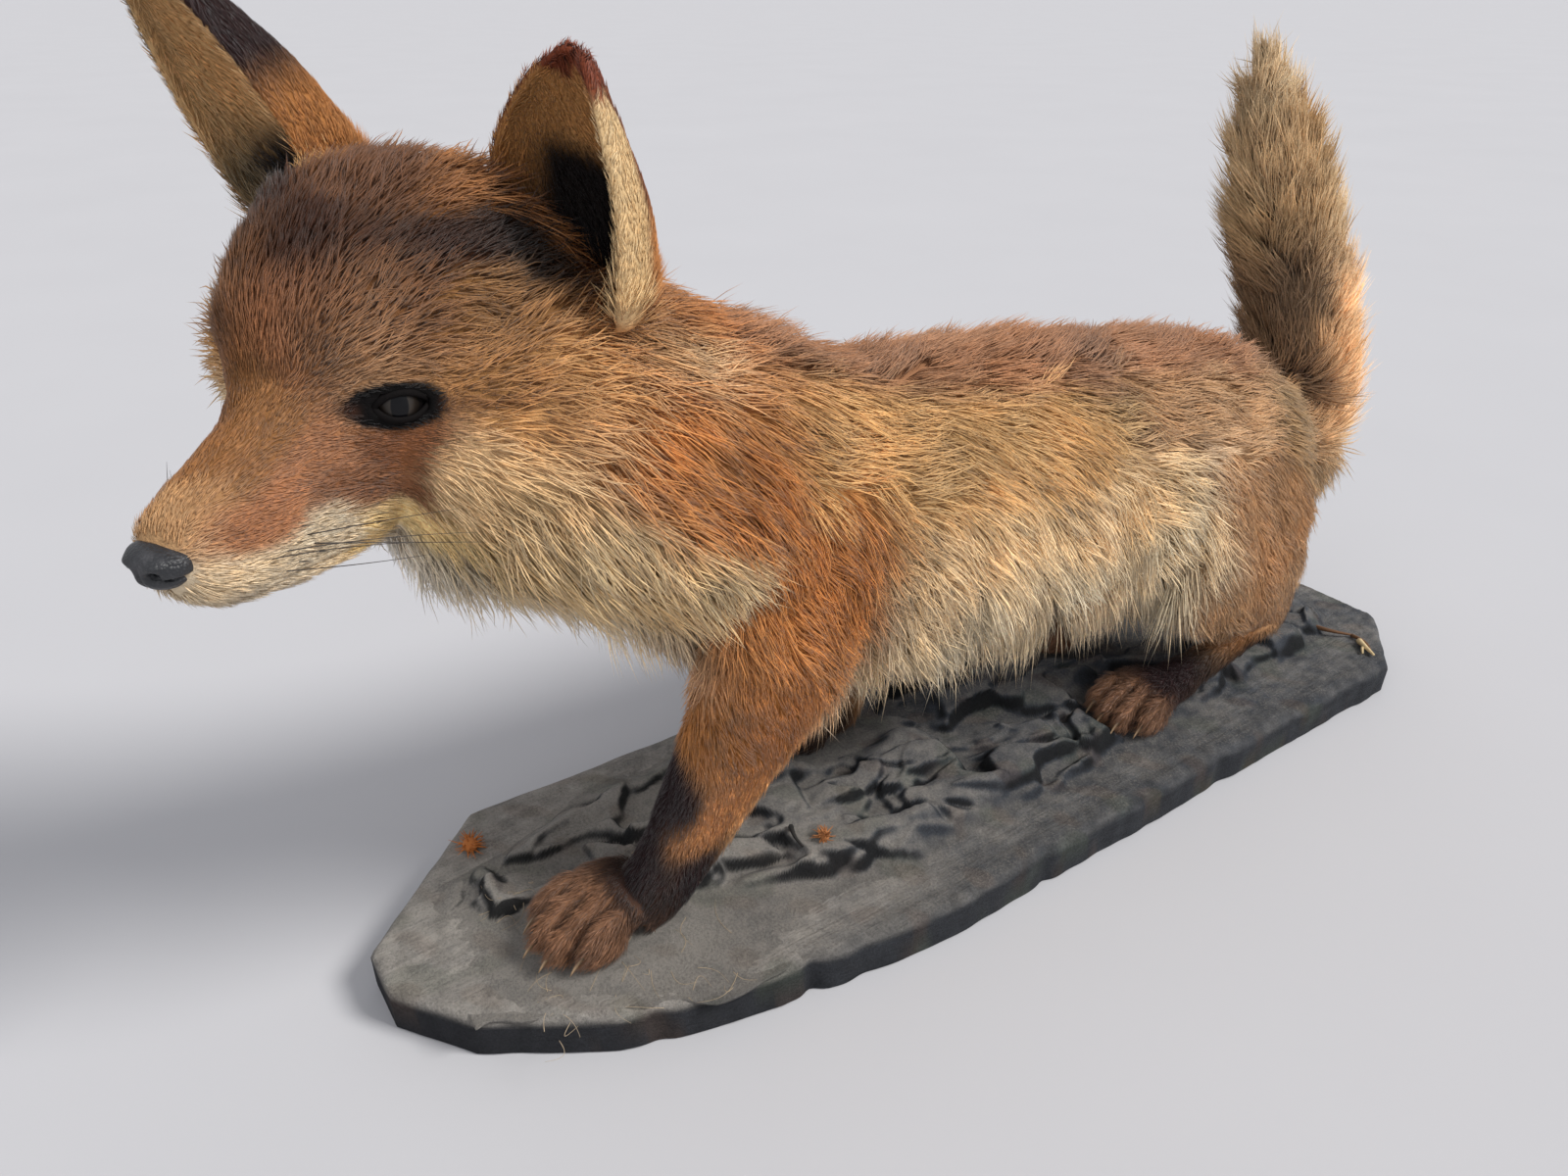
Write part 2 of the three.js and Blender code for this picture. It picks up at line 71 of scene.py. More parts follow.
view_forward = VIEW_HEADING * np.cos(VIEW_PITCH) - np.array([0, 0, 1]) * np.sin(VIEW_PITCH)
view_right = np.array([VIEW_HEADING[1], -VIEW_HEADING[0], 0.0])
view_up = np.cross(view_right, view_forward)
camera_data = bpy.data.cameras.new("camera")
camera_data.sensor_width = SENSOR
camera_data.lens = FOCAL_PIXELS / PICTURE_WIDTH * SENSOR
camera_data.clip_start = 0.01
camera = bpy.data.objects.new("camera", camera_data)
turn = Matrix(np.column_stack([view_right, view_up, -view_forward]).tolist()).to_4x4()
camera.matrix_world = Matrix.Translation(VIEW_FROM.tolist()) @ turn
bpy.context.scene.collection.objects.link(camera)
bpy.context.scene.camera = camera
print("lens", round(camera_data.lens, 2), "mm")

# %% [markdown]
# ## Surfaces from arrays
# Nearly every piece is a tube: rings of points carried along a smooth path and closed by
# a fan at each end. Two small helpers make such a surface and turn any array of points
# and triangles into a mesh in one go, with no loop over the points.

# %% Helpers for surfaces
rng = np.random.default_rng(7)
PRESSED = 0.62  # share of a station's coat depth that is left when the hair lies down


def smooth_path(rows, steps):
    """Points and tangents along a uniform Catmull-Rom curve through the rows.

    Between rows b and c, with neighbours a and d and u from 0 to 1, the point is half of
    2b + (c-a)u + (2a-5b+4c-d)u^2 + (3b-a-3c+d)u^3, and the tangent is its slope."""
    rows = np.asarray(rows, float)
    held = np.vstack([2 * rows[0] - rows[1], rows, 2 * rows[-1] - rows[-2]])
    place = np.linspace(0, len(rows) - 1, steps + 1)
    start = np.minimum(place.astype(int), len(rows) - 2)
    u = (place - start)[:, None]
    a, b, c, d = (held[start + shift] for shift in range(4))
    point = 0.5 * (2 * b + (c - a) * u + (2 * a - 5 * b + 4 * c - d) * u**2
                   + (3 * b - a - 3 * c + d) * u**3)
    slope = 0.5 * ((c - a) + 2 * (2 * a - 5 * b + 4 * c - d) * u
                   + 3 * (3 * b - a - 3 * c + d) * u**2)
    return point, slope


def unit(vectors):
    """Vectors scaled to length one along the last axis."""
    return vectors / np.maximum(np.linalg.norm(vectors, axis=-1, keepdims=True), 1e-9)


def tube_faces(rings, sides):
    """Triangles of a tube of rings, closed by fans to its two end points, listed last."""
    i, k = np.meshgrid(np.arange(rings - 1), np.arange(sides), indexing="ij")
    a, b = i * sides + k, i * sides + (k + 1) % sides
    walls = np.stack([a, b, a + sides, b, b + sides, a + sides], -1).reshape(-1, 3)
    k = np.arange(sides)
    after = (k + 1) % sides
    foot, last = rings * sides, (rings - 1) * sides
    first_fan = np.column_stack([np.full(sides, foot), after, k])
    last_fan = np.column_stack([np.full(sides, foot + 1), last + k, last + after])
    return np.vstack([walls, first_fan, last_fan])


def loft(stations, toward, sides, steps, square=2.0):
    """Closed body along a path. A station is x, y, z, half width, reach up, reach down and
    coat depth, and the skin lies inside the reach by the pressed share of that depth.

    A ring point is centre + upward * s + sideways * c, where s and c are the signed
    2/square powers of sine and cosine, times the reach and the half width."""
    rows, slope = smooth_path(stations, steps)
    centre, along = rows[:, :3], unit(slope[:, :3])
    reference = np.asarray(toward, float)
    upward = unit(reference - along * (along @ reference)[:, None])
    sideways = np.cross(upward, along)
    angle = 2 * np.pi * np.arange(sides) / sides
    high = np.sign(np.sin(angle)) * np.abs(np.sin(angle)) ** (2 / square)
    across = np.sign(np.cos(angle)) * np.abs(np.cos(angle)) ** (2 / square)
    reach = np.maximum(rows[:, 3:6] - PRESSED * rows[:, 6:7], 1.2)
    rise = np.where(high[None] > 0, reach[:, 1:2], reach[:, 2:3]) * high[None]
    spread = reach[:, 0:1] * across[None]
    points = (centre[:, None] + upward[:, None] * rise[..., None]
              + sideways[:, None] * spread[..., None])
    return np.vstack([points.reshape(-1, 3), centre[:1], centre[-1:]]), tube_faces(steps + 1, sides)


def ball(centre, halves, turn=np.eye(3), sides=40, rings=20):
    """Ball with three half sizes: sine and cosine of latitude and longitude times each."""
    latitude = np.linspace(-np.pi / 2, np.pi / 2, rings + 2)[1:-1, None]
    longitude = 2 * np.pi * np.arange(sides)[None] / sides
    shape = np.stack([np.cos(latitude) * np.cos(longitude), np.cos(latitude) * np.sin(longitude),
                      np.sin(latitude) + 0 * longitude], -1).reshape(-1, 3)
    shape = np.vstack([shape, [[0, 0, -1], [0, 0, 1]]]) * halves
    return shape @ np.asarray(turn).T + centre, tube_faces(rings, sides)


def merged(parts):
    """One array of points and one of triangles from many pairs."""
    counts = np.cumsum([0] + [len(points) for points, _ in parts])
    return (np.vstack([points for points, _ in parts]),
            np.vstack([faces + start for (_, faces), start in zip(parts, counts)]))


def new_piece(name, points, faces, tone=None, smooth=True):
    """Mesh object from points in millimetres and triangles, with a colour for each point."""
    mesh = bpy.data.meshes.new(name)
    mesh.vertices.add(len(points))
    mesh.vertices.foreach_set("co", (np.asarray(points, float) * 0.001).ravel())
    faces = np.asarray(faces, np.int32)
    if faces.shape[1] == 3:
        a, b, c = (np.asarray(points)[faces[:, k]] for k in range(3))
        if (a * np.cross(b, c)).sum() < 0:
            faces = faces[:, ::-1]
    mesh.loops.add(faces.size)
    mesh.loops.foreach_set("vertex_index", faces.ravel())
    mesh.polygons.add(len(faces))
    starts = np.arange(0, faces.size, faces.shape[1], dtype=np.int32)
    mesh.polygons.foreach_set("loop_start", starts)
    mesh.polygons.foreach_set("use_smooth", np.full(len(faces), smooth))
    if tone is not None:
        layer = mesh.attributes.new("tone", "FLOAT_COLOR", "POINT")
        layer.data.foreach_set("color", np.column_stack([tone, np.ones(len(tone))]).ravel())
    mesh.update(calc_edges=True)
    piece = bpy.data.objects.new(name, mesh)
    bpy.context.scene.collection.objects.link(piece)
    return piece


def smoothstep(low, high, value):
    """0 below low, 1 above high, and 3t^2 - 2t^3 between them."""
    t = np.clip((value - low) / (high - low), 0, 1)
    return t * t * (3 - 2 * t)


def waves(points, size, seed):
    """Smooth random field from -1 to 1: the mean of eight sines whose wavelengths lie
    around the size, in random directions."""
    pick = np.random.default_rng(seed)
    heading = unit(pick.normal(size=(8, 3))) * (2 * np.pi / (size * pick.uniform(0.7, 1.5, (8, 1))))
    phase = pick.uniform(0, 2 * np.pi, 8)
    return np.clip(np.sin(points @ heading.T + phase).sum(1) / 4, -1, 1)


def scrambled(cell, seed):
    """Three numbers from 0 to 1 for each whole-number cell, from mixed and shifted bits."""
    x = (cell[..., 0] * 73856093) ^ (cell[..., 1] * 19349663) ^ (cell[..., 2] * 83492791) ^ seed
    drawn = []
    for salt in (0x9E3779B1, 0x85EBCA6B, 0xC2B2AE35):
        h = ((x + salt) * 2654435761) & 0xFFFFFFFF
        h = ((h ^ (h >> 15)) * 2246822519) & 0xFFFFFFFF
        h = ((h ^ (h >> 13)) * 3266489917) & 0xFFFFFFFF
        drawn.append((h ^ (h >> 16)) / 0xFFFFFFFF)
    return np.stack(drawn, -1)


def clumps(points, size, seed):
    """Nearest point of a jittered lattice, and three random numbers that belong to it.

    One seed point is thrown into each cube of the given size, and the nearest of those
    in the 27 cubes around a point is its clump."""
    size = np.reshape(size, (-1, 1))
    base = np.floor(points / size).astype(np.int64)
    nearest = np.full(len(points), np.inf)
    centre, chance = np.zeros_like(points), np.zeros_like(points)
    for shift in np.ndindex(3, 3, 3):
        cell = base + np.array(shift) - 1
        spot = (cell + scrambled(cell, seed)) * size
        gap = ((spot - points) ** 2).sum(1)
        closer = gap < nearest
        nearest = np.where(closer, gap, nearest)
        centre[closer] = spot[closer]
        chance[closer] = scrambled(cell[closer], seed + 17)
    return centre, chance


print("surface helpers ready")

# %% [markdown]
# ## The form under the skin
# A taxidermist starts from a carved form. Here it is a set of lofts: skull and muzzle,
# cheeks, neck, trunk, legs, feet, paws, tail and two cupped ears. Each has the reach of
# the coat's tips and the depth of the coat there, and the skin lies that much deeper.

# %% The head's own frame
HEAD_AT = np.array([20.6, -325.4, 317.0])
head_forward = unit(np.array([0.554, -0.827, -0.095]))
head_up = unit(-np.cross(np.array([0.823, 0.561, -0.08]), head_forward))
head_left = np.cross(head_up, head_forward)
HEAD_TURN = np.column_stack([head_left, -head_forward, head_up])


def on_head(places):
    """Points of the head from rows of left, front and up, counted from between the eyes."""
    places = np.asarray(places, float)
    return HEAD_AT + (places * [1, -1, 1]) @ HEAD_TURN.T


def in_head(points):
    """Rows of left, front and up for points of the head."""
    return ((points - HEAD_AT) @ HEAD_TURN) * [1, -1, 1]


# %% Stations of the form
# skull, on the head: front, half width, top, bottom, coat depth
SKULL = [
    [-104, 34, 16, -34, 16], [-88, 54, 46, -52, 16], [-68, 62, 60, -62, 14],
    [-46, 63, 64, -68, 12], [-28, 56, 57, -68, 8], [-13, 45, 44, -66, 5],
    [-2, 35, 29, -64, 3.5], [10, 28, 15, -63, 2.4], [26, 22.5, 4, -61, 2.0],
    [44, 20, -3.5, -56, 1.8], [60, 17.5, -8.5, -50, 1.6], [71, 14, -14, -43, 1.5],
    [76, 8, -20, -36, 1.5],
]
CHEEK = {"side": 46, "back": 50, "down": 20, "halves": [40, 46, 52], "coat": 13}
# trunk: y, z, half width, reach up, reach down, coat depth; the rest start with x, y, z
TRUNK = [
    [-236, 246, 26, 26, 34, 14], [-216, 243, 54, 62, 64, 17], [-186, 237, 68, 80, 74, 17],
    [-150, 225, 74, 77, 82, 16], [-110, 212, 75, 73, 86, 16], [-60, 203, 73, 78, 91, 17],
    [-10, 198, 71, 81, 90, 18], [50, 191, 70, 79, 90, 18], [110, 184, 71, 76, 90, 17],
    [160, 177, 70, 73, 86, 16], [205, 167, 64, 60, 68, 15], [235, 159, 50, 45, 52, 14],
    [256, 153, 34, 31, 38, 12], [272, 149, 16, 14, 18, 8],
]
NECK = [
    [-1, -310, 315, 52, 40, 52, 14], [0, -278, 298, 76, 66, 70, 17],
    [0, -245, 276, 80, 74, 72, 18], [0, -210, 256, 78, 74, 70, 18],
    [0, -175, 240, 74, 68, 70, 17], [0, -140, 226, 50, 44, 50, 16],
]
TAIL_ROOT = [
    [0, 236, 176, 16, 16, 16, 8], [0, 256, 170, 24, 24, 24, 12],
    [-3, 280, 162, 28, 27, 30, 15], [-7, 304, 158, 26, 24, 28, 14],
]
BRUSH = [
    [-2, 298, 110, 9, 8, 10, 4], [-4, 301, 121, 25, 22, 25, 11],
    [-8, 306, 146, 36, 32, 35, 18], [-13, 308, 180, 38, 35, 38, 20],
    [-19, 305, 216, 38, 35, 38, 21], [-27, 296, 254, 37, 34, 36, 21],
    [-36, 282, 294, 34, 31, 33, 20], [-43, 270, 332, 27, 25, 27, 17],
    [-48, 261, 361, 16, 14, 16, 11], [-51, 256, 381, 4, 4, 4, 2],
]
FORE_LEFT = [
    [44, -148, 212, 26, 42, 44, 12], [45, -158, 180, 28, 46, 42, 11],
    [42, -168, 150, 25, 43, 40, 8], [36, -182, 120, 22, 33, 34, 6],
    [31, -196, 92, 19, 26, 29, 4.5], [27, -210, 64, 17, 21, 25, 3.5],
    [24, -222, 44, 17, 19, 20, 2.5], [22, -232, 36, 17, 16, 14, 2],
]
FORE_RIGHT = [
    [-44, -132, 212, 26, 42, 42, 12], [-47, -112, 180, 27, 40, 40, 11],
    [-49, -92, 150, 24, 35, 36, 8], [-51, -74, 120, 21, 27, 29, 6],
    [-52, -62, 92, 18, 22, 24, 4.5], [-52, -55, 64, 16, 20, 20, 3.5],
    [-52, -56, 44, 16, 19, 17, 2.5], [-52, -62, 36, 16, 16, 13, 2],
]
HIND_SHIFT = {1: 0, -1: 26}


def hind_leg(side):
    """Stations from hip to hock; the right leg stands further back by the shift."""
    back = HIND_SHIFT[side]
    return [
        [side * 30, 190, 190, 36, 46, 34, 14], [side * 42, 180 + back, 158, 36, 72, 56, 14],
        [side * 50, 178 + back, 128, 31, 74, 62, 12], [side * 53, 190 + back, 102, 24, 58, 50, 9],
        [side * 53, 206 + back, 80, 15, 30, 38, 6], [side * 52, 220 + back, 63, 11, 14, 20, 4],
        [side * 51, 221 + back, 50, 8, 9, 10, 2.5],
    ]


def hind_foot(side):
    """Stations from hock to paw of the long hind foot."""
    back = HIND_SHIFT[side]
    return [
        [side * 51.5, 230 + back, 62, 7, 7, 6, 1.5], [side * 51, 218 + back, 60, 11, 11, 10, 2.5],
        [side * 49.5, 190 + back, 50, 10.5, 10.5, 10, 2.5], [side * 48, 160 + back, 42, 11, 10, 10, 2.5],
        [side * 47, 136 + back, 38, 15, 10, 11, 2], [side * 46.5, 120 + back, 36, 15, 8, 8, 2],
    ]


PAW_LEVEL = 27.5  # level of the soles
PAWS = {
    "fore_left": {"at": (17, -248), "heading": 12, "wide": 46, "long": 62, "high": 25},
    "fore_right": {"at": (-54, -72), "heading": -4, "wide": 44, "long": 60, "high": 25},
    "hind_left": {"at": (46, 107), "heading": 8, "wide": 42, "long": 58, "high": 23},
    "hind_right": {"at": (-46, 133), "heading": -4, "wide": 42, "long": 58, "high": 23},
}
EARS = {
    1: {"foot": [52, -64, 8], "tip": [63, -65, 92], "opening": [-0.35, 1, 0.1], "lean": [-8, -2, 0],
        "widths": [31, 35, 36, 34, 28, 19, 6], "depths": [26, 30, 29, 25, 19, 12, 4]},
    -1: {"foot": [-50, -62, 18], "tip": [-97, -49, 112], "opening": [-0.45, 1, 0.1],
         "lean": [4, -2, 0], "widths": [31, 35, 36, 33, 27, 18, 5],
         "depths": [26, 30, 29, 25, 19, 12, 4]},
}
EAR_WALL = 3.0
EAR_ROLL = {1: 2.4, -1: 1.6}  # radius of the rolled rim on the outer and the inner edge


# %% Head, cheeks and ears
def skull_form():
    """Skull and muzzle: the SKULL rows as stations along the head's forward axis."""
    rows = np.array(SKULL, float)
    half = (rows[:, 2] - rows[:, 3]) / 2
    middle = np.column_stack([0 * half, rows[:, 0], rows[:, 3] + half])
    stations = np.column_stack([on_head(middle), rows[:, 1], half, half, rows[:, 4]])
    return loft(stations, head_up, 64, 90, square=2.1)


def cheek_form(side):
    """Cheek under the ruff: a ball inside the ruff's reach by the coat's depth."""
    centre = on_head([side * CHEEK["side"], -CHEEK["back"], -CHEEK["down"]])
    return ball(centre, np.array(CHEEK["halves"]) - PRESSED * CHEEK["coat"], HEAD_TURN)


def ear_frame(side, rows=36):
    """Centres, directions and sizes of an ear from foot to tip.

    The spine is a quadratic Bezier curve from foot to tip through a bend; front is the
    opening's direction made square to the spine, and across is square to both."""
    ear = EARS[side]
    foot, peak = on_head(ear["foot"]), on_head(ear["tip"])
    bend = foot + 0.55 * (peak - foot) + HEAD_TURN @ np.array(ear["lean"], float)
    t = np.linspace(0, 1, rows + 1)[:, None]
    centre = (1 - t) ** 2 * foot + 2 * t * (1 - t) * bend + t**2 * peak
    along = unit(2 * (1 - t) * (bend - foot) + 2 * t * (peak - bend))
    opening = HEAD_TURN @ (np.array(ear["opening"]) * [1, -1, 1])
    front = unit(opening - along * (along @ opening)[:, None])
    sizes, _ = smooth_path(np.column_stack([ear["widths"], ear["depths"]]), rows)
    return centre, along, front, np.cross(along, front), sizes


def ear_form(side, columns=28):
    """Cupped ear: on each row an outer half ellipse and an inner one, a wall apart."""
    centre, _, front, across, sizes = ear_frame(side)
    angle = np.pi * np.arange(columns + 1) / columns
    wide, deep = sizes[:, 0:1], sizes[:, 1:2]
    wall = EAR_WALL * np.minimum(1, 0.5 + wide / 30)
    outer_across, outer_front = wide * np.cos(angle), -deep * np.sin(angle)
    inner_across = np.maximum(wide - wall, 0.6) * np.cos(angle)
    inner_front = wall * 0.4 - np.maximum(deep - wall, 0.3) * np.sin(angle)
    sideways = np.hstack([outer_across, inner_across[:, ::-1]])
    forward = np.hstack([outer_front, inner_front[:, ::-1]])
    rings = (centre[:, None] + across[:, None] * sideways[..., None]
             + front[:, None] * forward[..., None])
    sides = 2 * (columns + 1)
    points = np.vstack([rings.reshape(-1, 3), centre[:1], centre[-1:]])
    return points, tube_faces(len(centre), sides)


def ear_rims(side):
    """Rolled rims: a tube along each edge of the cup, thinner towards the tip."""
    centre, _, front, across, sizes = ear_frame(side)
    height = np.linspace(0, 1, len(centre))[:, None]
    rims = []
    for edge in (1, -1):
        path = centre + across * edge * (sizes[:, :1] - 2.6) + front * 1.2
        thick = EAR_ROLL[side * edge] * (1 - 0.5 * height) * (0.4 + 0.6 * np.minimum(1, 6 * height))
        stations = np.hstack([path, thick, thick, thick, 0 * thick])[::3]
        rims.append(loft(stations, front[0], 16, 40))
    return rims


# %% Paws
TOE_LANES = (-1.5, -0.5, 0.5, 1.5)
TOE_SHARE = 0.155  # half width of a toe, as a share of the paw's width
TOE_PITCH = 1.72  # step from toe to toe, in half widths of a toe


def paw_frame(name):
    """Turn and foot point of a paw, on the level of the soles."""
    paw = PAWS[name]
    angle = np.radians(paw["heading"])
    c, s = np.cos(angle), np.sin(angle)
    return np.array([[c, -s, 0], [s, c, 0], [0, 0, 1]]), np.array([*paw["at"], PAW_LEVEL], float)


def toe_front(paw, lane):
    """How far a toe stands before the paw's middle: the middle two further."""
    return paw["long"] * (0.36 if abs(lane) < 1 else 0.22)


def paw_form(name):
    """Paw: a pad body and four long toes side by side, the middle two further forward."""
    paw = PAWS[name]
    turn, foot = paw_frame(name)
    wide, long, high = paw["wide"], paw["long"], paw["high"]
    coat = 1.2
    halves = np.array([wide * 0.5 - coat, long * 0.42 - coat, high * 0.5 - 0.5])
    parts = [ball(foot + turn @ [0, 4, high * 0.5], halves, turn)]
    toe = wide * TOE_SHARE
    for lane in TOE_LANES:
        front = toe_front(paw, lane)
        spot = foot + turn @ [lane * toe * TOE_PITCH, -front, high * 0.36]
        parts.append(ball(spot, np.array([toe - 0.4, long * 0.21, high * 0.36]), turn, 24, 12))
        knuckle = foot + turn @ [lane * toe * 1.6, -front * 0.62, high * 0.52]
        parts.append(ball(knuckle, np.array([toe, long * 0.2, high * 0.34]), turn, 24, 12))
    return parts


# %% All parts of the form
form_parts = [
    skull_form(), cheek_form(1), cheek_form(-1), ear_form(1), ear_form(-1),
    *ear_rims(1), *ear_rims(-1),
    loft([[0, *row] for row in TRUNK], [0, 0, 1], 64, 90, square=2.15),
    loft(NECK, [0, 0, 1], 64, 50),
    loft(TAIL_ROOT, [0, 0, 1], 40, 30), loft(BRUSH, [0, -1, 0], 40, 90),
    loft(FORE_LEFT, [0, -1, 0], 40, 60), loft(FORE_RIGHT, [0, -1, 0], 40, 60),
]
for side in (1, -1):
    form_parts += [loft(hind_leg(side), [0, -1, 0], 40, 60), loft(hind_foot(side), [0, 0, 1], 32, 50)]
for name in PAWS:
    form_parts += paw_form(name)
form_points, form_faces = merged(form_parts)
print("form:", len(form_parts), "parts,", len(form_faces), "triangles")

# %% [markdown]
# ## One skin over the form
# The tanned skin of a real mount is one piece. Joining the lofts and remeshing them in
# small cubes gives one closed surface with no seam; a few rounds of averaging take out
# the steps of the cubes. The lids, brows, lips and whisker pads are then pushed and
# pulled on its points, as a taxidermist tucks the skin.

# %% Remesh and smooth
def evaluated(piece):
    """Replaces a piece's mesh by what its modifiers make of it, and drops them."""
    made = bpy.data.meshes.new_from_object(
        piece.evaluated_get(bpy.context.evaluated_depsgraph_get()))
    piece.modifiers.clear()
    old, piece.data = piece.data, made
    bpy.data.meshes.remove(old)


def points_of(mesh):
    """Points of a mesh in millimetres."""
    flat = np.empty(len(mesh.vertices) * 3)
    mesh.vertices.foreach_get("co", flat)
    return flat.reshape(-1, 3) * 1000


def normals_of(mesh):
    """Outward direction at each point of a mesh."""
    flat = np.empty(len(mesh.vertices) * 3)
    mesh.vertices.foreach_get("normal", flat)
    return flat.reshape(-1, 3)


def put_points(mesh, points):
    """Writes points in millimetres back into a mesh."""
    mesh.vertices.foreach_set("co", (points * 0.001).ravel())
    mesh.update()


def averaged(mesh, points, rounds, amount=0.5, back=1.04):
    """Points drawn towards the mean of their neighbours, then back by a share of it: a
    little more keeps the volume while steps go, and none fills folds."""
    ends = np.empty(len(mesh.edges) * 2, np.int32)
    mesh.edges.foreach_get("vertices", ends)
    a, b = ends.reshape(-1, 2).T
    count = np.bincount(np.concatenate([a, b]), minlength=len(points))[:, None]
    for step in [amount, -amount * back] * rounds:
        total = np.column_stack([
            np.bincount(a, points[b, axis], len(points)) + np.bincount(b, points[a, axis], len(points))
            for axis in range(3)])
        points = points + step * (total / count - points)
    return points


VOXEL = 0.0015  # metres, size of the cubes
skin = new_piece("skin", form_points, form_faces)
remesh = skin.modifiers.new("one surface", "REMESH")
remesh.mode = "VOXEL"
remesh.voxel_size = VOXEL
evaluated(skin)
put_points(skin.data, averaged(skin.data, points_of(skin.data), 5))
form = points_of(skin.data)
left, front, up = in_head(form).T
# the fold behind the eye and the brow are smoothed more than the rest
fold = smoothstep(14, 24, np.abs(left)) * smoothstep(66, 56, np.abs(left))
fold = fold * smoothstep(22, 8, front) * smoothstep(-44, -30, front)
fold = fold * smoothstep(44, 30, np.abs(up + 16))
brow = smoothstep(-34, -20, front) * smoothstep(34, 22, front) * smoothstep(-8, 2, up)
share = np.maximum(fold, brow)[:, None]
put_points(skin.data, form * (1 - share) + averaged(skin.data, form, 45, back=0) * share)
print("skin:", len(skin.data.vertices), "points after the remesh")


# %% Tuck the face
EYE = {"side": 26.5, "front": -1.5, "up": -2.5, "radius": 10.5}
GAZE_TURN = 46.0  # degrees that each eye looks out to its side
LID = {"long": 13.0, "high": 6.0, "tilt": -6.0}  # half sizes of the opening, degrees of tilt


def eye_frame(side):
    """Centre of an eyeball and its directions: out along the gaze, to the outer corner, up."""
    centre = on_head([side * EYE["side"], EYE["front"], EYE["up"]])
    turn, tilt = np.radians(GAZE_TURN), np.radians(LID["tilt"])
    gaze = unit(HEAD_TURN @ np.array([side * np.sin(turn), -np.cos(turn), 0.10]))
    outer = HEAD_TURN @ np.array([side * np.cos(turn), np.sin(turn), 0])
    upward = unit(np.cross(gaze, outer)) * side * -1
    upward = upward * np.sign(upward @ head_up)
    outer, upward = (unit(outer * np.cos(tilt) + upward * np.sin(tilt)),
                     unit(upward * np.cos(tilt) - outer * np.sin(tilt)))
    return centre, gaze, outer, upward


def eye_place(points, side):
    """Places of points round an eyeball: to the outer corner, up, and out along the gaze."""
    centre, gaze, outer, upward = eye_frame(side)
    away = points - centre
    return away @ outer, away @ upward, away @ gaze


LID_BALL = 11.0  # radius on which the lids lie
OPENING = {"long": 8.8, "high": 4.5, "shift": 0.8}  # half sizes of the almond between the lids
# swellings of the face: left, front, up, stretch to the front, height, spread
SWELLINGS = {"brow": (20, 4, 17, 1.6, 1.2, 160), "cheekbone": (36, -8, -20, 2, 1.6, 120),
             "whisker pad": (16, 56, -34, 1.7, 1.3, 50)}


def opening_curve(angle):
    """Almond between the lids: an ellipse whose height is drawn in towards both corners."""
    pinch = 1 - 0.35 * np.abs(np.cos(angle)) ** 3
    return (OPENING["shift"] + OPENING["long"] * np.cos(angle),
            OPENING["high"] * np.sin(angle) * pinch - 0.6 * np.clip(-np.cos(angle), 0, 1))


def tuck_face(points, normals):
    """Moves skin points of the face: hollows the sockets, lifts brow, lids, cheekbone and
    whisker pads, and cuts the line of the lips and the groove under the nose."""
    left, front, up = in_head(points).T
    near = (front > -70) & (np.abs(left) < 75)
    push = np.zeros(len(points))
    out = points.copy()
    for side in (1, -1):
        along, rise, depth = eye_place(points, side)
        oval = np.hypot((along - OPENING["shift"]) / OPENING["long"], rise / OPENING["high"])
        facing = (depth > -9) & near
        cap = np.sqrt(np.maximum(LID_BALL**2 - along**2 - rise**2, 0.0))
        lid = np.maximum(depth, cap) + 0.6 * np.exp(-((depth - cap) / 1.6) ** 2)
        lid = lid * smoothstep(2.6, 1.9, oval) + depth * (1 - smoothstep(2.6, 1.9, oval))
        soft = smoothstep(0.9, 1.05, oval)
        target = np.minimum(depth, 2.0) * (1 - soft) + lid * soft
        out += (facing * (target - depth) * (cap > 0.5))[:, None] * eye_frame(side)[1]
        for out_left, ahead, above, stretch, height, spread in SWELLINGS.values():
            spot = np.stack([left - side * out_left, (front - ahead) / stretch, up - above], 1)
            push += height * np.exp(-(spot**2).sum(1) / spread) * near
    lips = -45.5 - 0.10 * (60 - front)
    line = np.exp(-((up - lips) / 1.5) ** 2) * smoothstep(8, 18, front)
    line = line * smoothstep(6, 10, np.abs(left))
    push -= 1.7 * line
    groove = np.exp(-(left / 1.3) ** 2) * smoothstep(66, 70, front) * (up < -30)
    push -= 1.2 * groove
    stop = np.exp(-((front - 8) / 14) ** 2) * np.exp(-(left / 11) ** 2) * smoothstep(-16, -6, up)
    push -= 0.9 * stop
    ripple = 0.3 * waves(points, 16, 3) * near
    return out + (push + ripple)[:, None] * normals


def toe_gaps(points):
    """1 in the clefts between the toes of all paws, 0 elsewhere."""
    gap = np.zeros(len(points))
    for name, paw in PAWS.items():
        turn, foot = paw_frame(name)
        side, back, up = ((points - foot) @ turn).T
        pitch = paw["wide"] * TOE_SHARE * TOE_PITCH
        cleft = sum(np.exp(-(((side - lane * pitch) / 1.5) ** 2)) for lane in (-1, 0, 1))
        reach = smoothstep(0.0, 0.16, -back / paw["long"]) * (np.hypot(side, back) < paw["long"])
        gap = np.maximum(gap, cleft * reach * (up < paw["high"] + 4))
    return np.clip(gap, 0, 1)


shaped = tuck_face(points_of(skin.data), normals_of(skin.data))
put_points(skin.data, shaped - 2.6 * toe_gaps(shaped)[:, None] * normals_of(skin.data))


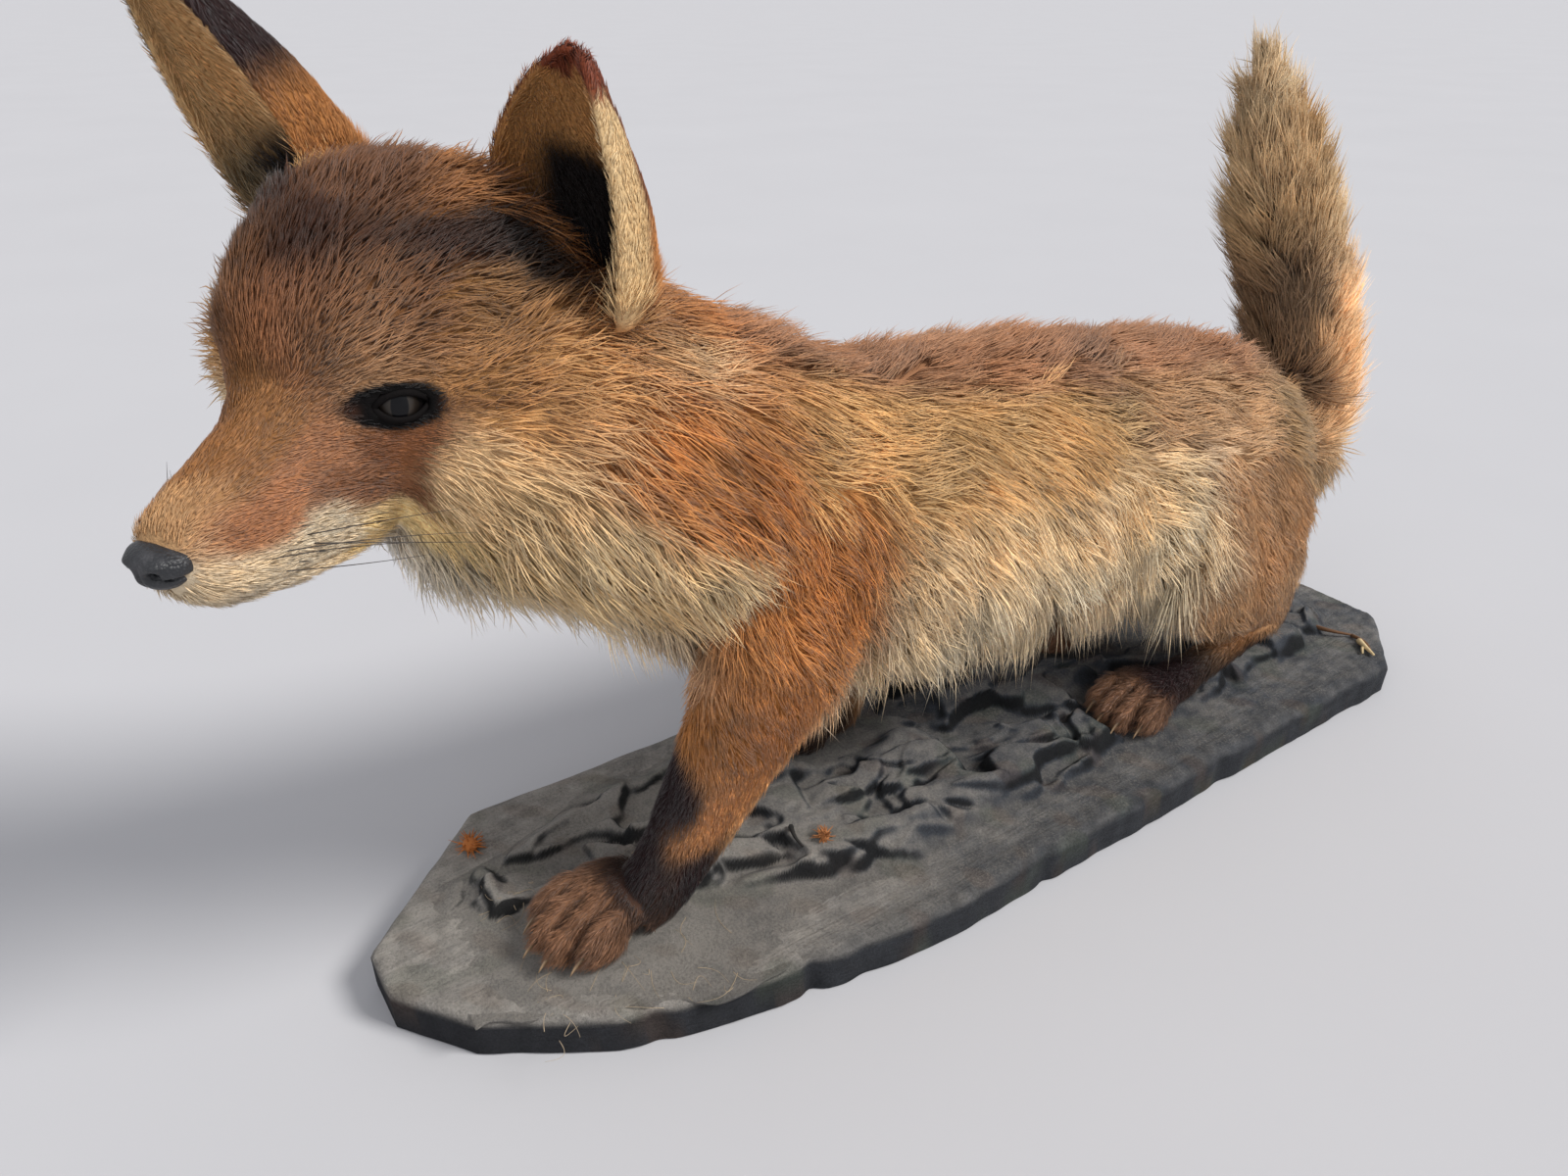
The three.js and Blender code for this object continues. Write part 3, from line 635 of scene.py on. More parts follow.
# %% Thin the mesh away from the face
SKIN_TRIANGLES = 180_000
left, front, up = in_head(points_of(skin.data)).T
keep = smoothstep(-40, -10, front) * (np.abs(left) < 70)
group = skin.vertex_groups.new(name="thin")
weights = np.round(1 - 0.9 * keep, 1)
for level in np.unique(weights):
    group.add(np.flatnonzero(weights == level).tolist(), float(level), "REPLACE")
thin = skin.modifiers.new("thin", "DECIMATE")
thin.ratio = SKIN_TRIANGLES / (2 * len(skin.data.polygons))
thin.vertex_group = "thin"
thin.use_collapse_triangulate = True
evaluated(skin)
skin.vertex_groups.clear()
skin.data.shade_smooth()
print("skin:", len(skin.data.polygons), "triangles")

# %% [markdown]
# ## The lie, length and tone of the coat
# Fur is combed one way in each part of the body: back along the muzzle and skull, down
# the throat, back and down over the flanks, down the legs, forward over the feet, up the
# raised tail. One table holds this: each zone is a line through the body with a radius,
# the way its hair lies, its length, lift and droop, and its tone. Between zones the
# values blend by distance, so that no border shows, and skin and coat share them.

# %% Tones of the coat, in 0 to 255
TONES = {
    "muzzle tip": (186, 146, 104), "muzzle top": (144, 100, 60), "muzzle rufous": (172, 118, 80),
    "muzzle red": (146, 98, 66), "muzzle pale": (223, 203, 172), "bridge": (134, 88, 58),
    "lip": (250, 219, 158), "chin": (230, 208, 176), "forehead": (56, 29, 13),
    "brow": (72, 38, 16), "under eye": (132, 84, 52), "temple": (156, 112, 68),
    "cheek pale": (240, 208, 162), "cheek": (206, 154, 96), "ruff": (236, 208, 162),
    "throat side": (236, 216, 188), "crown": (157, 108, 68), "pate": (107, 71, 47),
    "throat": (236, 222, 202),
    "chest": (234, 216, 188), "chest side": (230, 198, 148), "neck": (208, 138, 74),
    "nape": (190, 130, 80), "shoulder": (232, 182, 118), "shoulder low": (186, 122, 64),
    "back": (170, 122, 88), "flank": (226, 180, 120), "flank low": (250, 216, 166),
    "flank cream": (250, 226, 186), "flank rear": (201, 158, 114), "belly": (236, 212, 178),
    "rump": (179, 145, 103), "thigh": (198, 152, 108), "thigh back": (194, 152, 104),
    "leg": (204, 142, 88), "leg front": (42, 24, 26), "leg black": (53, 37, 31),
    "leg edge": (236, 176, 116), "toes": (144, 105, 79), "hock": (164, 116, 74),
    "tail root": (233, 182, 132), "tail": (240, 198, 152), "tail tan": (211, 178, 135),
    "tail tip": (214, 182, 140),
}


def linear(tone):
    """Light of a tone given in 0 to 255, by the usual display curve."""
    value = np.asarray(tone, float) / 255
    return np.where(value <= 0.04045, value / 12.92, ((value + 0.055) / 1.055) ** 2.4)


# %% The zone table
def zones():
    """Rows of piece, frame, sides, line from and to, radius, lie, hair and tone.

    Frame h counts left, front, up on the head and b is the body. Sides 1 takes the row as
    it stands, 2 mirrors it too, and 3 mirrors it with the hind leg's shift. Hair is its
    length in mm, its lift in degrees and its droop."""
    h, b = "h", "b"
    return [
        ("face", h, 1, (0, 74, -20), (0, 58, -12), 9, (0, -1, 0.1), (4, 9, 0), "muzzle tip"),
        ("face", h, 1, (0, 52, -8), (0, 26, 0), 12, (0, -1, 0.1), (4.5, 9, 0), "muzzle top"),
        ("face", h, 2, (13, 60, -24), (22, 24, -14), 10, (0.2, -1, -0.1), (5, 10, 0), "muzzle rufous"),
        ("face", h, 2, (22, 34, -24), (28, 10, -26), 8, (0.25, -1, -0.1), (6, 12, 0), "muzzle red"),
        ("face", h, 2, (13, 68, -34), (20, 32, -38), 11, (0.15, -1, -0.15), (5.5, 12, 0), "muzzle pale"),
        ("face", h, 1, (0, 70, -44), (0, 20, -62), 11, (0, -1, -0.25), (6, 14, 0), "chin"),
        ("face", h, 2, (20, 20, -46), (31, -6, -46), 12, (0.25, -1, -0.2), (8, 14, 0.1), "lip"),
        ("face", h, 1, (0, 18, 6), (0, 4, 22), 11, (0, -0.8, 0.6), (5.5, 12, 0), "bridge"),
        ("face", h, 1, (0, -6, 34), (0, -18, 46), 14, (0, -0.8, 0.6), (8, 14, 0), "forehead"),
        ("face", h, 2, (15, -13, 36), (26, -22, 37), 11, (0.3, -0.8, 0.45), (9, 16, 0), "forehead"),
        ("face", h, 2, (14, 4, 12), (24, -12, 24), 9, (0.3, -0.8, 0.5), (6.5, 14, 0), "brow"),
        ("face", h, 2, (27, 8, -16), (38, -10, -20), 8, (0.3, -0.95, -0.15), (6, 12, 0), "under eye"),
        ("face", h, 2, (36, -14, 2), (46, -26, 8), 9, (0.3, -0.95, 0.1), (9, 14, 0), "temple"),
        ("crown", h, 1, (0, -26, 52), (0, -52, 60), 20, (0, -0.9, 0.3), (11, 26, 0), "pate"),
        ("crown", h, 1, (0, -66, 60), (0, -100, 20), 24, (0, -0.9, -0.5), (16, 32, 0.1), "crown"),
        ("crown", h, 2, (28, -26, 40), (46, -44, 38), 13, (0.4, -0.8, 0.25), (12, 26, 0), "forehead"),
        ("crown", h, 2, (44, -26, 20), (56, -42, 18), 11, (0.4, -0.85, 0.1), (14, 26, 0), "temple"),
        ("ruff", h, 2, (38, -6, -32), (56, -30, -36), 13, (0.35, -0.9, -0.25), (13, 20, 0.1), "cheek pale"),
        ("ruff", h, 2, (50, -24, -10), (66, -48, -8), 13, (0.45, -0.9, -0.15), (18, 22, 0.15), "cheek"),
        ("ruff", h, 2, (62, -46, -30), (80, -72, -24), 20, (0.5, -0.85, -0.3), (24, 28, 0.2), "ruff"),
        ("ruff", h, 2, (50, -44, -62), (62, -84, -56), 20, (0.4, -0.8, -0.5), (25, 28, 0.25), "throat side"),
        ("ruff", h, 1, (0, -16, -64), (0, -60, -68), 20, (0, -0.9, -0.45), (17, 25, 0.2), "throat"),
        ("neck", b, 1, (0, -276, 350), (0, -200, 318), 34, (0, 1, -0.4), (25, 26, 0.1), "nape"),
        ("neck", b, 2, (67, -226, 284), (66, -184, 264), 30, (0.1, 0.9, -0.6), (28, 26, 0.25), "neck"),
        ("neck", b, 2, (56, -270, 252), (64, -222, 228), 28, (0.1, 0.6, -0.9), (29, 29, 0.3), "chest side"),
        ("neck", b, 1, (0, -290, 236), (0, -242, 190), 36, (0, 0.4, -1), (30, 32, 0.3), "chest"),
        ("back", b, 1, (0, -170, 306), (0, -60, 278), 30, (0, 1, -0.2), (25, 26, 0), "back"),
        ("back", b, 1, (0, -20, 278), (0, 190, 246), 32, (0, 1, -0.15), (25, 24, 0), "back"),
        ("front", b, 2, (66, -170, 268), (62, -120, 262), 26, (0.05, 0.9, -0.5), (27, 24, 0.2), "shoulder"),
        ("front", b, 2, (68, -160, 224), (62, -160, 190), 28, (0.05, 0.5, -0.9), (19, 20, 0.15), "neck"),
        ("front", b, 2, (46, -172, 170), (42, -186, 136), 22, (0, 0.25, -1), (11, 12, 0.05), "shoulder low"),
        ("front", b, 1, (0, -232, 216), (0, -206, 168), 26, (0, 0.35, -1), (28, 31, 0.3), "chest"),
        ("flank", b, 2, (68, -100, 246), (66, 20, 238), 26, (0.05, 0.95, -0.4), (27, 23, 0.2), "flank"),
        ("flank", b, 2, (70, -84, 204), (68, 60, 196), 24, (0.08, 0.8, -0.65), (30, 26, 0.35), "flank low"),
        ("flank", b, 2, (66, -86, 158), (62, 90, 152), 24, (0.08, 0.6, -0.85), (31, 29, 0.5), "flank cream"),
        ("flank", b, 2, (66, 60, 232), (62, 150, 220), 26, (0.05, 0.95, -0.4), (26, 23, 0.2), "flank rear"),
        ("belly", b, 2, (48, -100, 134), (44, 120, 122), 20, (0.1, 0.3, -1), (36, 33, 0.9), "flank cream"),
        ("belly", b, 1, (0, -140, 134), (0, 140, 112), 26, (0, 0.6, -0.5), (32, 53, 0.6), "belly"),
        ("rump", b, 1, (0, 210, 222), (0, 250, 186), 30, (0, 0.85, -0.55), (21, 22, 0.1), "rump"),
        ("rump", b, 2, (48, 186, 206), (44, 240, 176), 26, (0.05, 0.7, -0.75), (20, 20, 0.2), "rump"),
        ("rump", b, 2, (62, 170, 166), (64, 190, 112), 28, (0.05, 0.4, -0.95), (15, 18, 0.1), "thigh"),
        ("rump", b, 2, (50, 226, 140), (54, 246, 100), 18, (0, 0.6, -0.8), (17, 18, 0.1), "thigh back"),
        ("rump", b, 2, (56, 126, 120), (58, 150, 96), 16, (0, 0.5, -0.9), (14, 16, 0.1), "flank rear"),
        ("rump", b, 2, (12, 200, 130), (20, 220, 100), 24, (0, 0.5, -0.9), (15, 18, 0.2), "belly"),
        ("tail", b, 1, (0, 250, 186), (-6, 296, 172), 20, (0, 0.9, 0.1), (36, 36, 0.2), "tail root"),
        ("tail", b, 1, (-2, 306, 118), (-5, 310, 150), 18, (0, 0.15, -0.75), (24, 40, 0), "tail tan"),
        ("tail", b, 1, (-9, 307, 170), (-24, 300, 240), 26, (-0.1, -0.02, 1), (38, 26, 0), "tail"),
        ("tail", b, 1, (-27, 296, 254), (-43, 270, 332), 24, (-0.2, -0.3, 1), (38, 26, 0), "tail tan"),
        ("tail", b, 1, (-45, 266, 345), (-50, 257, 372), 16, (-0.2, -0.3, 1), (28, 22, 0), "tail tip"),
        ("legs", b, 1, (30, -206, 116), (22, -232, 62), 12, (-0.15, -0.3, -1), (8, 10, 0), "leg front"),
        ("legs", b, 1, (46, -184, 112), (40, -202, 84), 11, (-0.1, -0.25, -1), (8, 10, 0), "leg"),
        ("legs", b, 1, (34, -160, 126), (30, -182, 74), 12, (-0.1, -0.1, -1), (11, 18, 0), "leg edge"),
        ("legs", b, 1, (34, -200, 68), (30, -206, 52), 11, (-0.1, -0.2, -1), (7, 11, 0), "leg front"),
        ("legs", b, 1, (-50, -98, 126), (-52, -76, 62), 12, (0, 0.2, -1), (8, 10, 0), "leg front"),
        ("legs", b, 1, (-62, -74, 120), (-62, -58, 62), 11, (0, 0.2, -1), (8, 10, 0), "leg"),
        ("legs", b, 1, (-51, -50, 122), (-52, -36, 62), 12, (0, 0.3, -1), (11, 18, 0), "leg edge"),
        ("legs", b, 3, (54, 176, 108), (52, 216, 74), 16, (0, 0.5, -0.85), (9, 11, 0), "thigh"),
        ("legs", b, 3, (52, 232, 84), (51, 238, 66), 9, (0, 0.3, -1), (11, 16, 0), "hock"),
        ("legs", b, 3, (51, 224, 68), (48, 180, 53), 8, (0, -1, -0.3), (8, 16, 0), "hock"),
        ("legs", b, 3, (50, 206, 46), (47, 150, 36), 9, (0, -0.8, -0.5), (9, 17, 0), "leg black"),
        ("paws", b, 1, (22, -226, 52), (20, -238, 46), 11, (0.2, -0.8, -0.6), (8, 15, 0), "leg black"),
        ("paws", b, 1, (16, -254, 42), (12, -280, 36), 14, (0.2, -0.95, -0.4), (8, 18, 0), "toes"),
        ("paws", b, 1, (-52, -70, 50), (-54, -80, 42), 12, (0, -0.9, -0.4), (8, 15, 0), "leg black"),
        ("paws", b, 1, (-54, -88, 38), (-55, -104, 34), 14, (0, -0.95, -0.4), (7, 16, 0), "leg black"),
        ("paws", b, 3, (47, 134, 48), (46, 112, 42), 12, (0.05, -0.95, -0.3), (8, 16, 0), "leg front"),
        ("paws", b, 3, (45, 98, 38), (44, 78, 34), 14, (0.05, -0.95, -0.35), (8, 20, 0), "toes"),
    ]


def spread_zones():
    """Zone table as arrays, mirrored where asked and with head zones put on the head."""
    rows = []
    for piece, where, sides, start, end, radius, lie, hair, tone in zones():
        for side in ((1, -1) if sides > 1 else (1,)):
            flip = np.array([side, 1, 1])
            back = np.array([0, HIND_SHIFT[side] if sides == 3 else 0, 0])
            a, e, d = (np.array(v, float) * flip for v in (start, end, lie))
            if where == "h":
                a, e = on_head([a, e])
                d = HEAD_TURN @ (d * [1, -1, 1])
            else:
                a, e = a + back, e + back
            rows.append((piece, a, e, radius, unit(d), hair, linear(TONES[tone])))
    piece, *columns = zip(*rows)
    return np.array(piece), *(np.array(column, float) for column in columns)


ZONE_PIECE, ZONE_FROM, ZONE_TO, ZONE_RADIUS, ZONE_LIE, ZONE_HAIR, ZONE_TONE = spread_zones()
print(len(ZONE_PIECE), "zones of the coat")


# %% Blend the zones at any points
def zone_weights(points):
    """Share of each zone at each point: (distance / radius)^2 + 0.05, to the power -3."""
    span = ZONE_TO - ZONE_FROM
    away = points[:, None] - ZONE_FROM
    t = np.clip((away * span).sum(-1) / (span**2).sum(-1), 0, 1)
    gap = ((away - t[..., None] * span) ** 2).sum(-1) / ZONE_RADIUS**2
    weight = (gap + 0.05) ** -3
    return weight / weight.sum(1, keepdims=True)


EAR_ROWS = 24


def ear_place(points, normals, side):
    """Where points lie on an ear: share that is ear, height 0 to 1, side to side from -1
    to 1, share that is the inner face, distance ahead of the spine, and the directions
    up the ear and across it."""
    centre, along, front, across, sizes = ear_frame(side, rows=EAR_ROWS)
    axis = unit(centre[-1] - centre[0])
    height = (points - centre[0]) @ axis / np.linalg.norm(centre[-1] - centre[0])
    row = np.clip(height * EAR_ROWS, 0, EAR_ROWS)
    low = np.minimum(row.astype(int), EAR_ROWS - 1)
    part = (row - low)[:, None]
    mid, up, fore, wide, size = (v[low] * (1 - part) + v[low + 1] * part
                                 for v in (centre, along, front, across, sizes))
    offset = points - mid
    c, f = (offset * wide).sum(1), (offset * fore).sum(1)
    ring = np.hypot(c / size[:, 0], f / size[:, 1])
    share = smoothstep(1.45, 1.2, ring) * smoothstep(0.02, 0.12, height)
    share = share * smoothstep(1.2, 1.1, height)
    share = share * (f < 8) * smoothstep(0.45, 0.72, ring + 0.6 * (height > 0.62))
    radial = unit(wide * (c / size[:, 0] ** 2)[:, None] + fore * (f / size[:, 1] ** 2)[:, None])
    inner = smoothstep(0.15, -0.25, (normals * radial).sum(1))
    return share, height, c / size[:, 0], inner, f, up, wide


print("the zones blend")


# %% Lie, size and tone of the coat at any points
def coat_at(points, normals):
    """Lie, hair sizes, tone, piece and zone for skin points.

    The place is first shifted by slow waves, so that markings have uneven borders."""
    shifted = points + 5 * np.column_stack([waves(points, 40, seed) for seed in (11, 12, 13)])
    lie, hair, tone = np.zeros_like(points), np.zeros_like(points), np.zeros_like(points)
    zone = np.zeros(len(points), int)
    for start in range(0, len(points), 20_000):
        part = slice(start, start + 20_000)
        weight = zone_weights(points[part])
        lie[part], hair[part] = weight @ ZONE_LIE, weight @ ZONE_HAIR
        zone[part] = weight.argmax(1)
        tone[part] = zone_weights(shifted[part]) @ ZONE_TONE
    piece = ZONE_PIECE[zone].astype("<U12")
    tone = markings(shifted, points, normals, tone)
    for side in (1, -1):
        share, height, across, inner, ahead, up, wide = ear_place(points, normals, side)
        rest = 1 - share[:, None]
        combed = up + 0.35 * np.sign(across)[:, None] * wide * (inner * (1 - height))[:, None]
        lie = lie * rest + combed * share[:, None]
        foot = smoothstep(0.32, 0.04, height)
        length = 4.5 + 4.5 * inner * smoothstep(0.7, 0.2, height) - smoothstep(0.7, 1, height)
        ear_hair = np.column_stack([length + 8 * foot, 10 + 8 * inner + 16 * foot, 0 * length])
        hair = hair * rest + ear_hair * share[:, None]
        own_tone = ear_tone(side, height, across, inner, ahead, points)
        tone = tone * rest + own_tone * share[:, None]
        piece[share > 0.5] = "ears"
        zone[share > 0.5] = len(ZONE_PIECE) + (0 if side > 0 else 1)
    for side in (1, -1):
        along, rise, depth = eye_place(points, side)
        ring = np.hypot((along + 1.5) / LID["long"], rise / LID["high"])
        short = smoothstep(2.6, 1.1, ring) * (depth > -8)
        hair[:, 0] -= short * np.maximum(hair[:, 0] - 2.6, 0)
    lie = unit(lie - normals * (lie * normals).sum(1)[:, None])
    return lie, hair, tone, piece, zone


def blend(tone, other, share):
    """Tone moved towards another one, given in 0 to 255, by a share from 0 to 1."""
    return tone * (1 - share[:, None]) + linear(other) * share[:, None]


def ear_tone(side, height, across, inner, ahead, points):
    """Tones of an ear: back, rim, pale inside, painted shade that darkens the lower part of the
    cup, and the worn tip with its hole."""
    back = (120, 70, 42) if side > 0 else (50, 33, 32)
    tone = np.tile(linear(back), (len(height), 1))
    tone = blend(tone, (176, 118, 66), smoothstep(0.55, 0.35, height))
    fur_inside = (196, 142, 86) if side > 0 else (220, 176, 122)
    inside = np.tile(linear(fur_inside), (len(height), 1))
    low, high = (0.50, 0.66) if side > 0 else (0.22, 0.40)
    # painted shade: the lower part of the cup is painted near black
    pocket_shade = smoothstep(high, low, height) * smoothstep(1.1, 0.78, np.abs(across - 0.2 * side))
    inside = blend(inside, (24, 16, 14), pocket_shade)
    tone = tone * (1 - inner[:, None]) + inside * inner[:, None]
    outer_edge = smoothstep(0.74, 0.82, across * side)
    rim = outer_edge if side > 0 else 0.35 * outer_edge
    rim = rim * smoothstep(-14, -7, ahead) * smoothstep(0.92, 0.84, height)
    rim = rim * smoothstep(-0.02, 0.16, height)
    tone = blend(tone, (222, 190, 142), rim)
    worn = smoothstep(0.84, 0.92, height + 0.04 * waves(points, 9, 5))
    tone = blend(tone, (128, 66, 44), worn * (1.0 if side > 0 else 0.35))
    hole = smoothstep(0.45, 0.7, waves(points, 4.5, 6)) * worn * (side > 0)
    return blend(tone, (34, 16, 13), 0.85 * hole)


def markings(shifted, points, normals, tone):
    """Markings that are narrower than a zone: dark eye surrounds, tear lines, a streak
    behind each eye, painted shade in the hollow before the left ear and in the gaps of the
    toes, cream patches on the flanks and the tail's dark side."""
    left, front, up = in_head(shifted).T
    for side in (1, -1):
        along, rise, depth = eye_place(points, side)
        seen = depth > -8
        oval = np.hypot((along + 1.5) / (LID["long"] + 1.2), rise / (LID["high"] + 1.2))
        tone = blend(tone, (9, 7, 7), smoothstep(1.22, 1.02, oval) * seen)
        tear = np.exp(-((rise + 2.5 + 0.1 * along) / 2.4) ** 2) * smoothstep(-10, -14, along)
        tone = blend(tone, (70, 44, 32), 0.75 * tear * smoothstep(-24, -18, along) * seen)
        streak = np.exp(-((rise - 0.10 * (along - 14) + 1) / 3.2) ** 2)
        streak = streak * smoothstep(11, 15, along) * smoothstep(52, 34, along)
        tone = blend(tone, (96, 58, 36), 0.6 * streak * seen)
    # painted shade: a dark spot in the hollow before the left ear
    pit_shade = np.exp(-((left - 52) / 11) ** 2 - ((front + 54) / 12) ** 2 - ((up - 30) / 14) ** 2)
    tone = blend(tone, (38, 26, 20), 0.9 * np.clip(2.0 * pit_shade, 0, 1))
    # painted shade in the clefts between the toes
    tone = blend(tone, (22, 15, 13), 0.85 * toe_gaps(points))
    cream = smoothstep(0.1, 0.7, waves(points, 70, 31) + 0.3 * waves(points, 24, 32))
    flank = smoothstep(-120, -60, points[:, 1]) * smoothstep(170, 110, points[:, 1])
    flank = flank * smoothstep(222, 190, points[:, 2]) * smoothstep(100, 125, points[:, 2])
    tone = blend(tone, (250, 226, 190), 0.6 * cream * flank)
    facing = -normals[:, 1] - normals[:, 0] * 0.15
    tail = smoothstep(262, 280, points[:, 1]) * smoothstep(0.1, 0.85, facing)
    tone = blend(tone, (92, 60, 38), 0.75 * tail * smoothstep(340, 260, points[:, 2]))
    return tone


# The skin is painted darker than the coat over it: painted shade under the coat.
SKIN_DIM = 0.9  # share of the coat's light that the skin under it has
skin_points, skin_normals = points_of(skin.data), normals_of(skin.data)
_, skin_hair, skin_tone, skin_zone_piece, _ = coat_at(skin_points, skin_normals)
layer = skin.data.attributes.new("tone", "FLOAT_COLOR", "POINT")
painted = np.column_stack([skin_tone * SKIN_DIM, np.ones(len(skin_points))])
layer.data.foreach_set("color", painted.ravel())
print("skin painted,", dict(zip(*np.unique(skin_zone_piece, return_counts=True))))

# %% [markdown]
# ## Tufts of fur
# Fox fur is long guard hair over wool, and it hangs together in pointed locks. Particle
# hair can't be kept as a mesh, so each tuft is a thin solid: rings of three points that
# narrow to a tip, all made at once as arrays. Roots are spread by area over the skin,
# tips are drawn to the middle of their lock, and locks differ in lie, lift and tone.

# %% Spread the roots
# guard hair and wool share the long-haired parts, fine hair covers the rest
TUFT_BUDGET = {"guard": 34_000, "wool": 84_000, "fine": 88_000}
LONG_HAIR = 12.0  # mm, from which hair counts as long


def spread_roots(mesh, density, count):
    """Points on the triangles of a mesh: even steps along the running sum of area times
    density, each then thrown at random inside its triangle."""
    mesh.calc_loop_triangles()
    corners = np.empty(len(mesh.loop_triangles) * 3, np.int32)
    mesh.loop_triangles.foreach_get("vertices", corners)
    corners = corners.reshape(-1, 3)
    points, normals = points_of(mesh), normals_of(mesh)
    a, b, c = (points[corners[:, i]] for i in range(3))
    area = np.linalg.norm(np.cross(b - a, c - a), axis=1) / 2
    run = np.cumsum(area * density[corners].mean(1))
    draw = (np.arange(count) + rng.uniform(0, 1, count)) / count * run[-1]
    face = np.minimum(np.searchsorted(run, draw), len(corners) - 1)
    u, v = rng.uniform(0, 1, (2, count, 1))
    folded = u + v > 1
    u, v = np.where(folded, 1 - u, u), np.where(folded, 1 - v, v)
    shares = np.stack([1 - u - v, u, v], 1)
    root = (points[corners[face]] * shares).sum(1)
    return root, unit((normals[corners[face]] * shares).sum(1))


def bare_share(points):
    """1 where no hair grows: on the eyes, the nose pad and inside the nose."""
    bare = np.zeros(len(points))
    for side in (1, -1):
        along, rise, depth = eye_place(points, side)
        oval = np.hypot((along + 1.5) / (LID["long"] + 0.2), rise / (LID["high"] + 0.3))
        bare = np.maximum(bare, (oval < 1) & (depth > -6))
    left, front, up = in_head(points).T
    nose = np.sqrt((left / 9.5) ** 2 + ((front - 76) / 8) ** 2 + ((up + 27) / 7.4) ** 2)
    return np.maximum(bare, nose < 1.0)


long_skin = skin_hair[:, 0] >= LONG_HAIR
crowd = 1 / (skin_hair[:, 0] + 4) * (1 - bare_share(skin_points))
crowd *= np.where(skin_zone_piece == "face", 1.5, 1.0) * np.where(skin_zone_piece == "tail", 3.0, 1.0)
crowd *= skin_points[:, 2] > PAW_LEVEL + 1.5
grows = {"guard": long_skin, "wool": long_skin, "fine": ~long_skin}
roots = {kind: spread_roots(skin.data, crowd * where, TUFT_BUDGET[kind])
         for kind, where in grows.items()}
print({kind: len(root) for kind, (root, _) in roots.items()}, "roots")


# %% Shape the tufts
# where the rings of three points stand along a tuft, and how wide they are
RING_PLACES = {"guard": (0.30, 0.68), "wool": (0.42,), "fine": (0.40,)}
RING_WIDTHS = {"guard": (1.0, 0.72), "wool": (1.0,), "fine": (1.0,)}
KIND_LENGTH = {"guard": 1.0, "wool": 0.78, "fine": 1.0}


def shape_tufts(kind, root, normal, lie, hair):
    """Points, triangles and chances of all tufts of a kind.

    With d = lie cos(lift) + normal sin(lift), a tuft stands at share s of its length L at
    root + L (s d + s^2 b) + across y, where b bends it back to the skin and down by its
    droop, and y grows with s^2 towards the middle of its lock."""
    count = len(root)
    length, lift, droop = hair.T
    width = 0.33 + 0.0145 * length
    middle, chance = clumps(root, np.clip(length * 0.30, 1.6, 9), 5)
    shock, broad = clumps(root, np.clip(length * 1.1, 7, 32), 9)
    swing = np.radians((chance[:, 0] - 0.5) * 26 + (broad[:, 0] - 0.5) * 52
                       + rng.normal(0, 8, count)) * np.clip(length / 22, 0.25, 1)
    lie = lie * np.cos(swing)[:, None] + np.cross(normal, lie) * np.sin(swing)[:, None]
    across = np.cross(normal, lie)
    longer = 0.74 + 0.30 * chance[:, 1] + 0.3 * rng.uniform(0, 1, count)
    length = length * KIND_LENGTH[kind] * longer
    higher = 0.35 + 0.75 * broad[:, 2] + 0.35 * chance[:, 2] + 0.4 * rng.uniform(0, 1, count)
    lift = np.radians(lift * higher)
    pull = ((middle - root) * across).sum(1) * 0.5 + ((shock - root) * across).sum(1) * 0.24
    wave = rng.normal(0, 0.05, count) * length
    width = width * rng.uniform(0.7, 1.2, count)
    ahead = lie * np.cos(lift)[:, None] + normal * np.sin(lift)[:, None]
    bend = -0.26 * normal * np.sin(lift)[:, None] - 0.5 * droop[:, None] * np.array([0, 0, 1])
    clear = np.clip(0.10 - ((ahead + bend) * normal).sum(1), 0, None)
    bend = bend + normal * clear[:, None]
    spine = np.stack([
        root - normal * (0.5 * (s == 0)) + length[:, None] * (s * ahead + s * s * bend)
        + across * (pull * s**2 + wave * np.sin(np.pi * s))[:, None]
        for s in (0.0, *RING_PLACES[kind], 1.0)], 1)
    outward = unit(np.cross(np.gradient(spine, axis=1), across[:, None]))
    outward *= np.sign((outward * normal[:, None]).sum(-1, keepdims=True))
    rings = [
        spine[:, j + 1, None] + (width * share)[:, None, None] * (
            across[:, None] * np.array([-0.5, 0.5, 0.0])[:, None]
            + outward[:, j + 1, None] * np.array([-0.12, -0.12, 0.3])[:, None])
        for j, share in enumerate(RING_WIDTHS[kind])]
    points = np.concatenate([spine[:, :1], *rings, spine[:, -1:]], 1)
    return points, tuft_faces(len(rings)), chance, broad


def tuft_faces(rings):
    """Triangles of one tuft: a fan from its root, the walls between rings, and the tip."""
    faces = [(0, 1 + (k + 1) % 3, 1 + k) for k in range(3)]
    for a in range(1, 3 * rings - 3, 3):
        for k in range(3):
            n = (k + 1) % 3
            faces += [(a + k, a + n, a + 3 + k), (a + n, a + 3 + n, a + 3 + k)]
    a = 3 * rings - 2
    faces += [(a + k, a + (k + 1) % 3, a + 3) for k in range(3)]
    return np.array(faces)


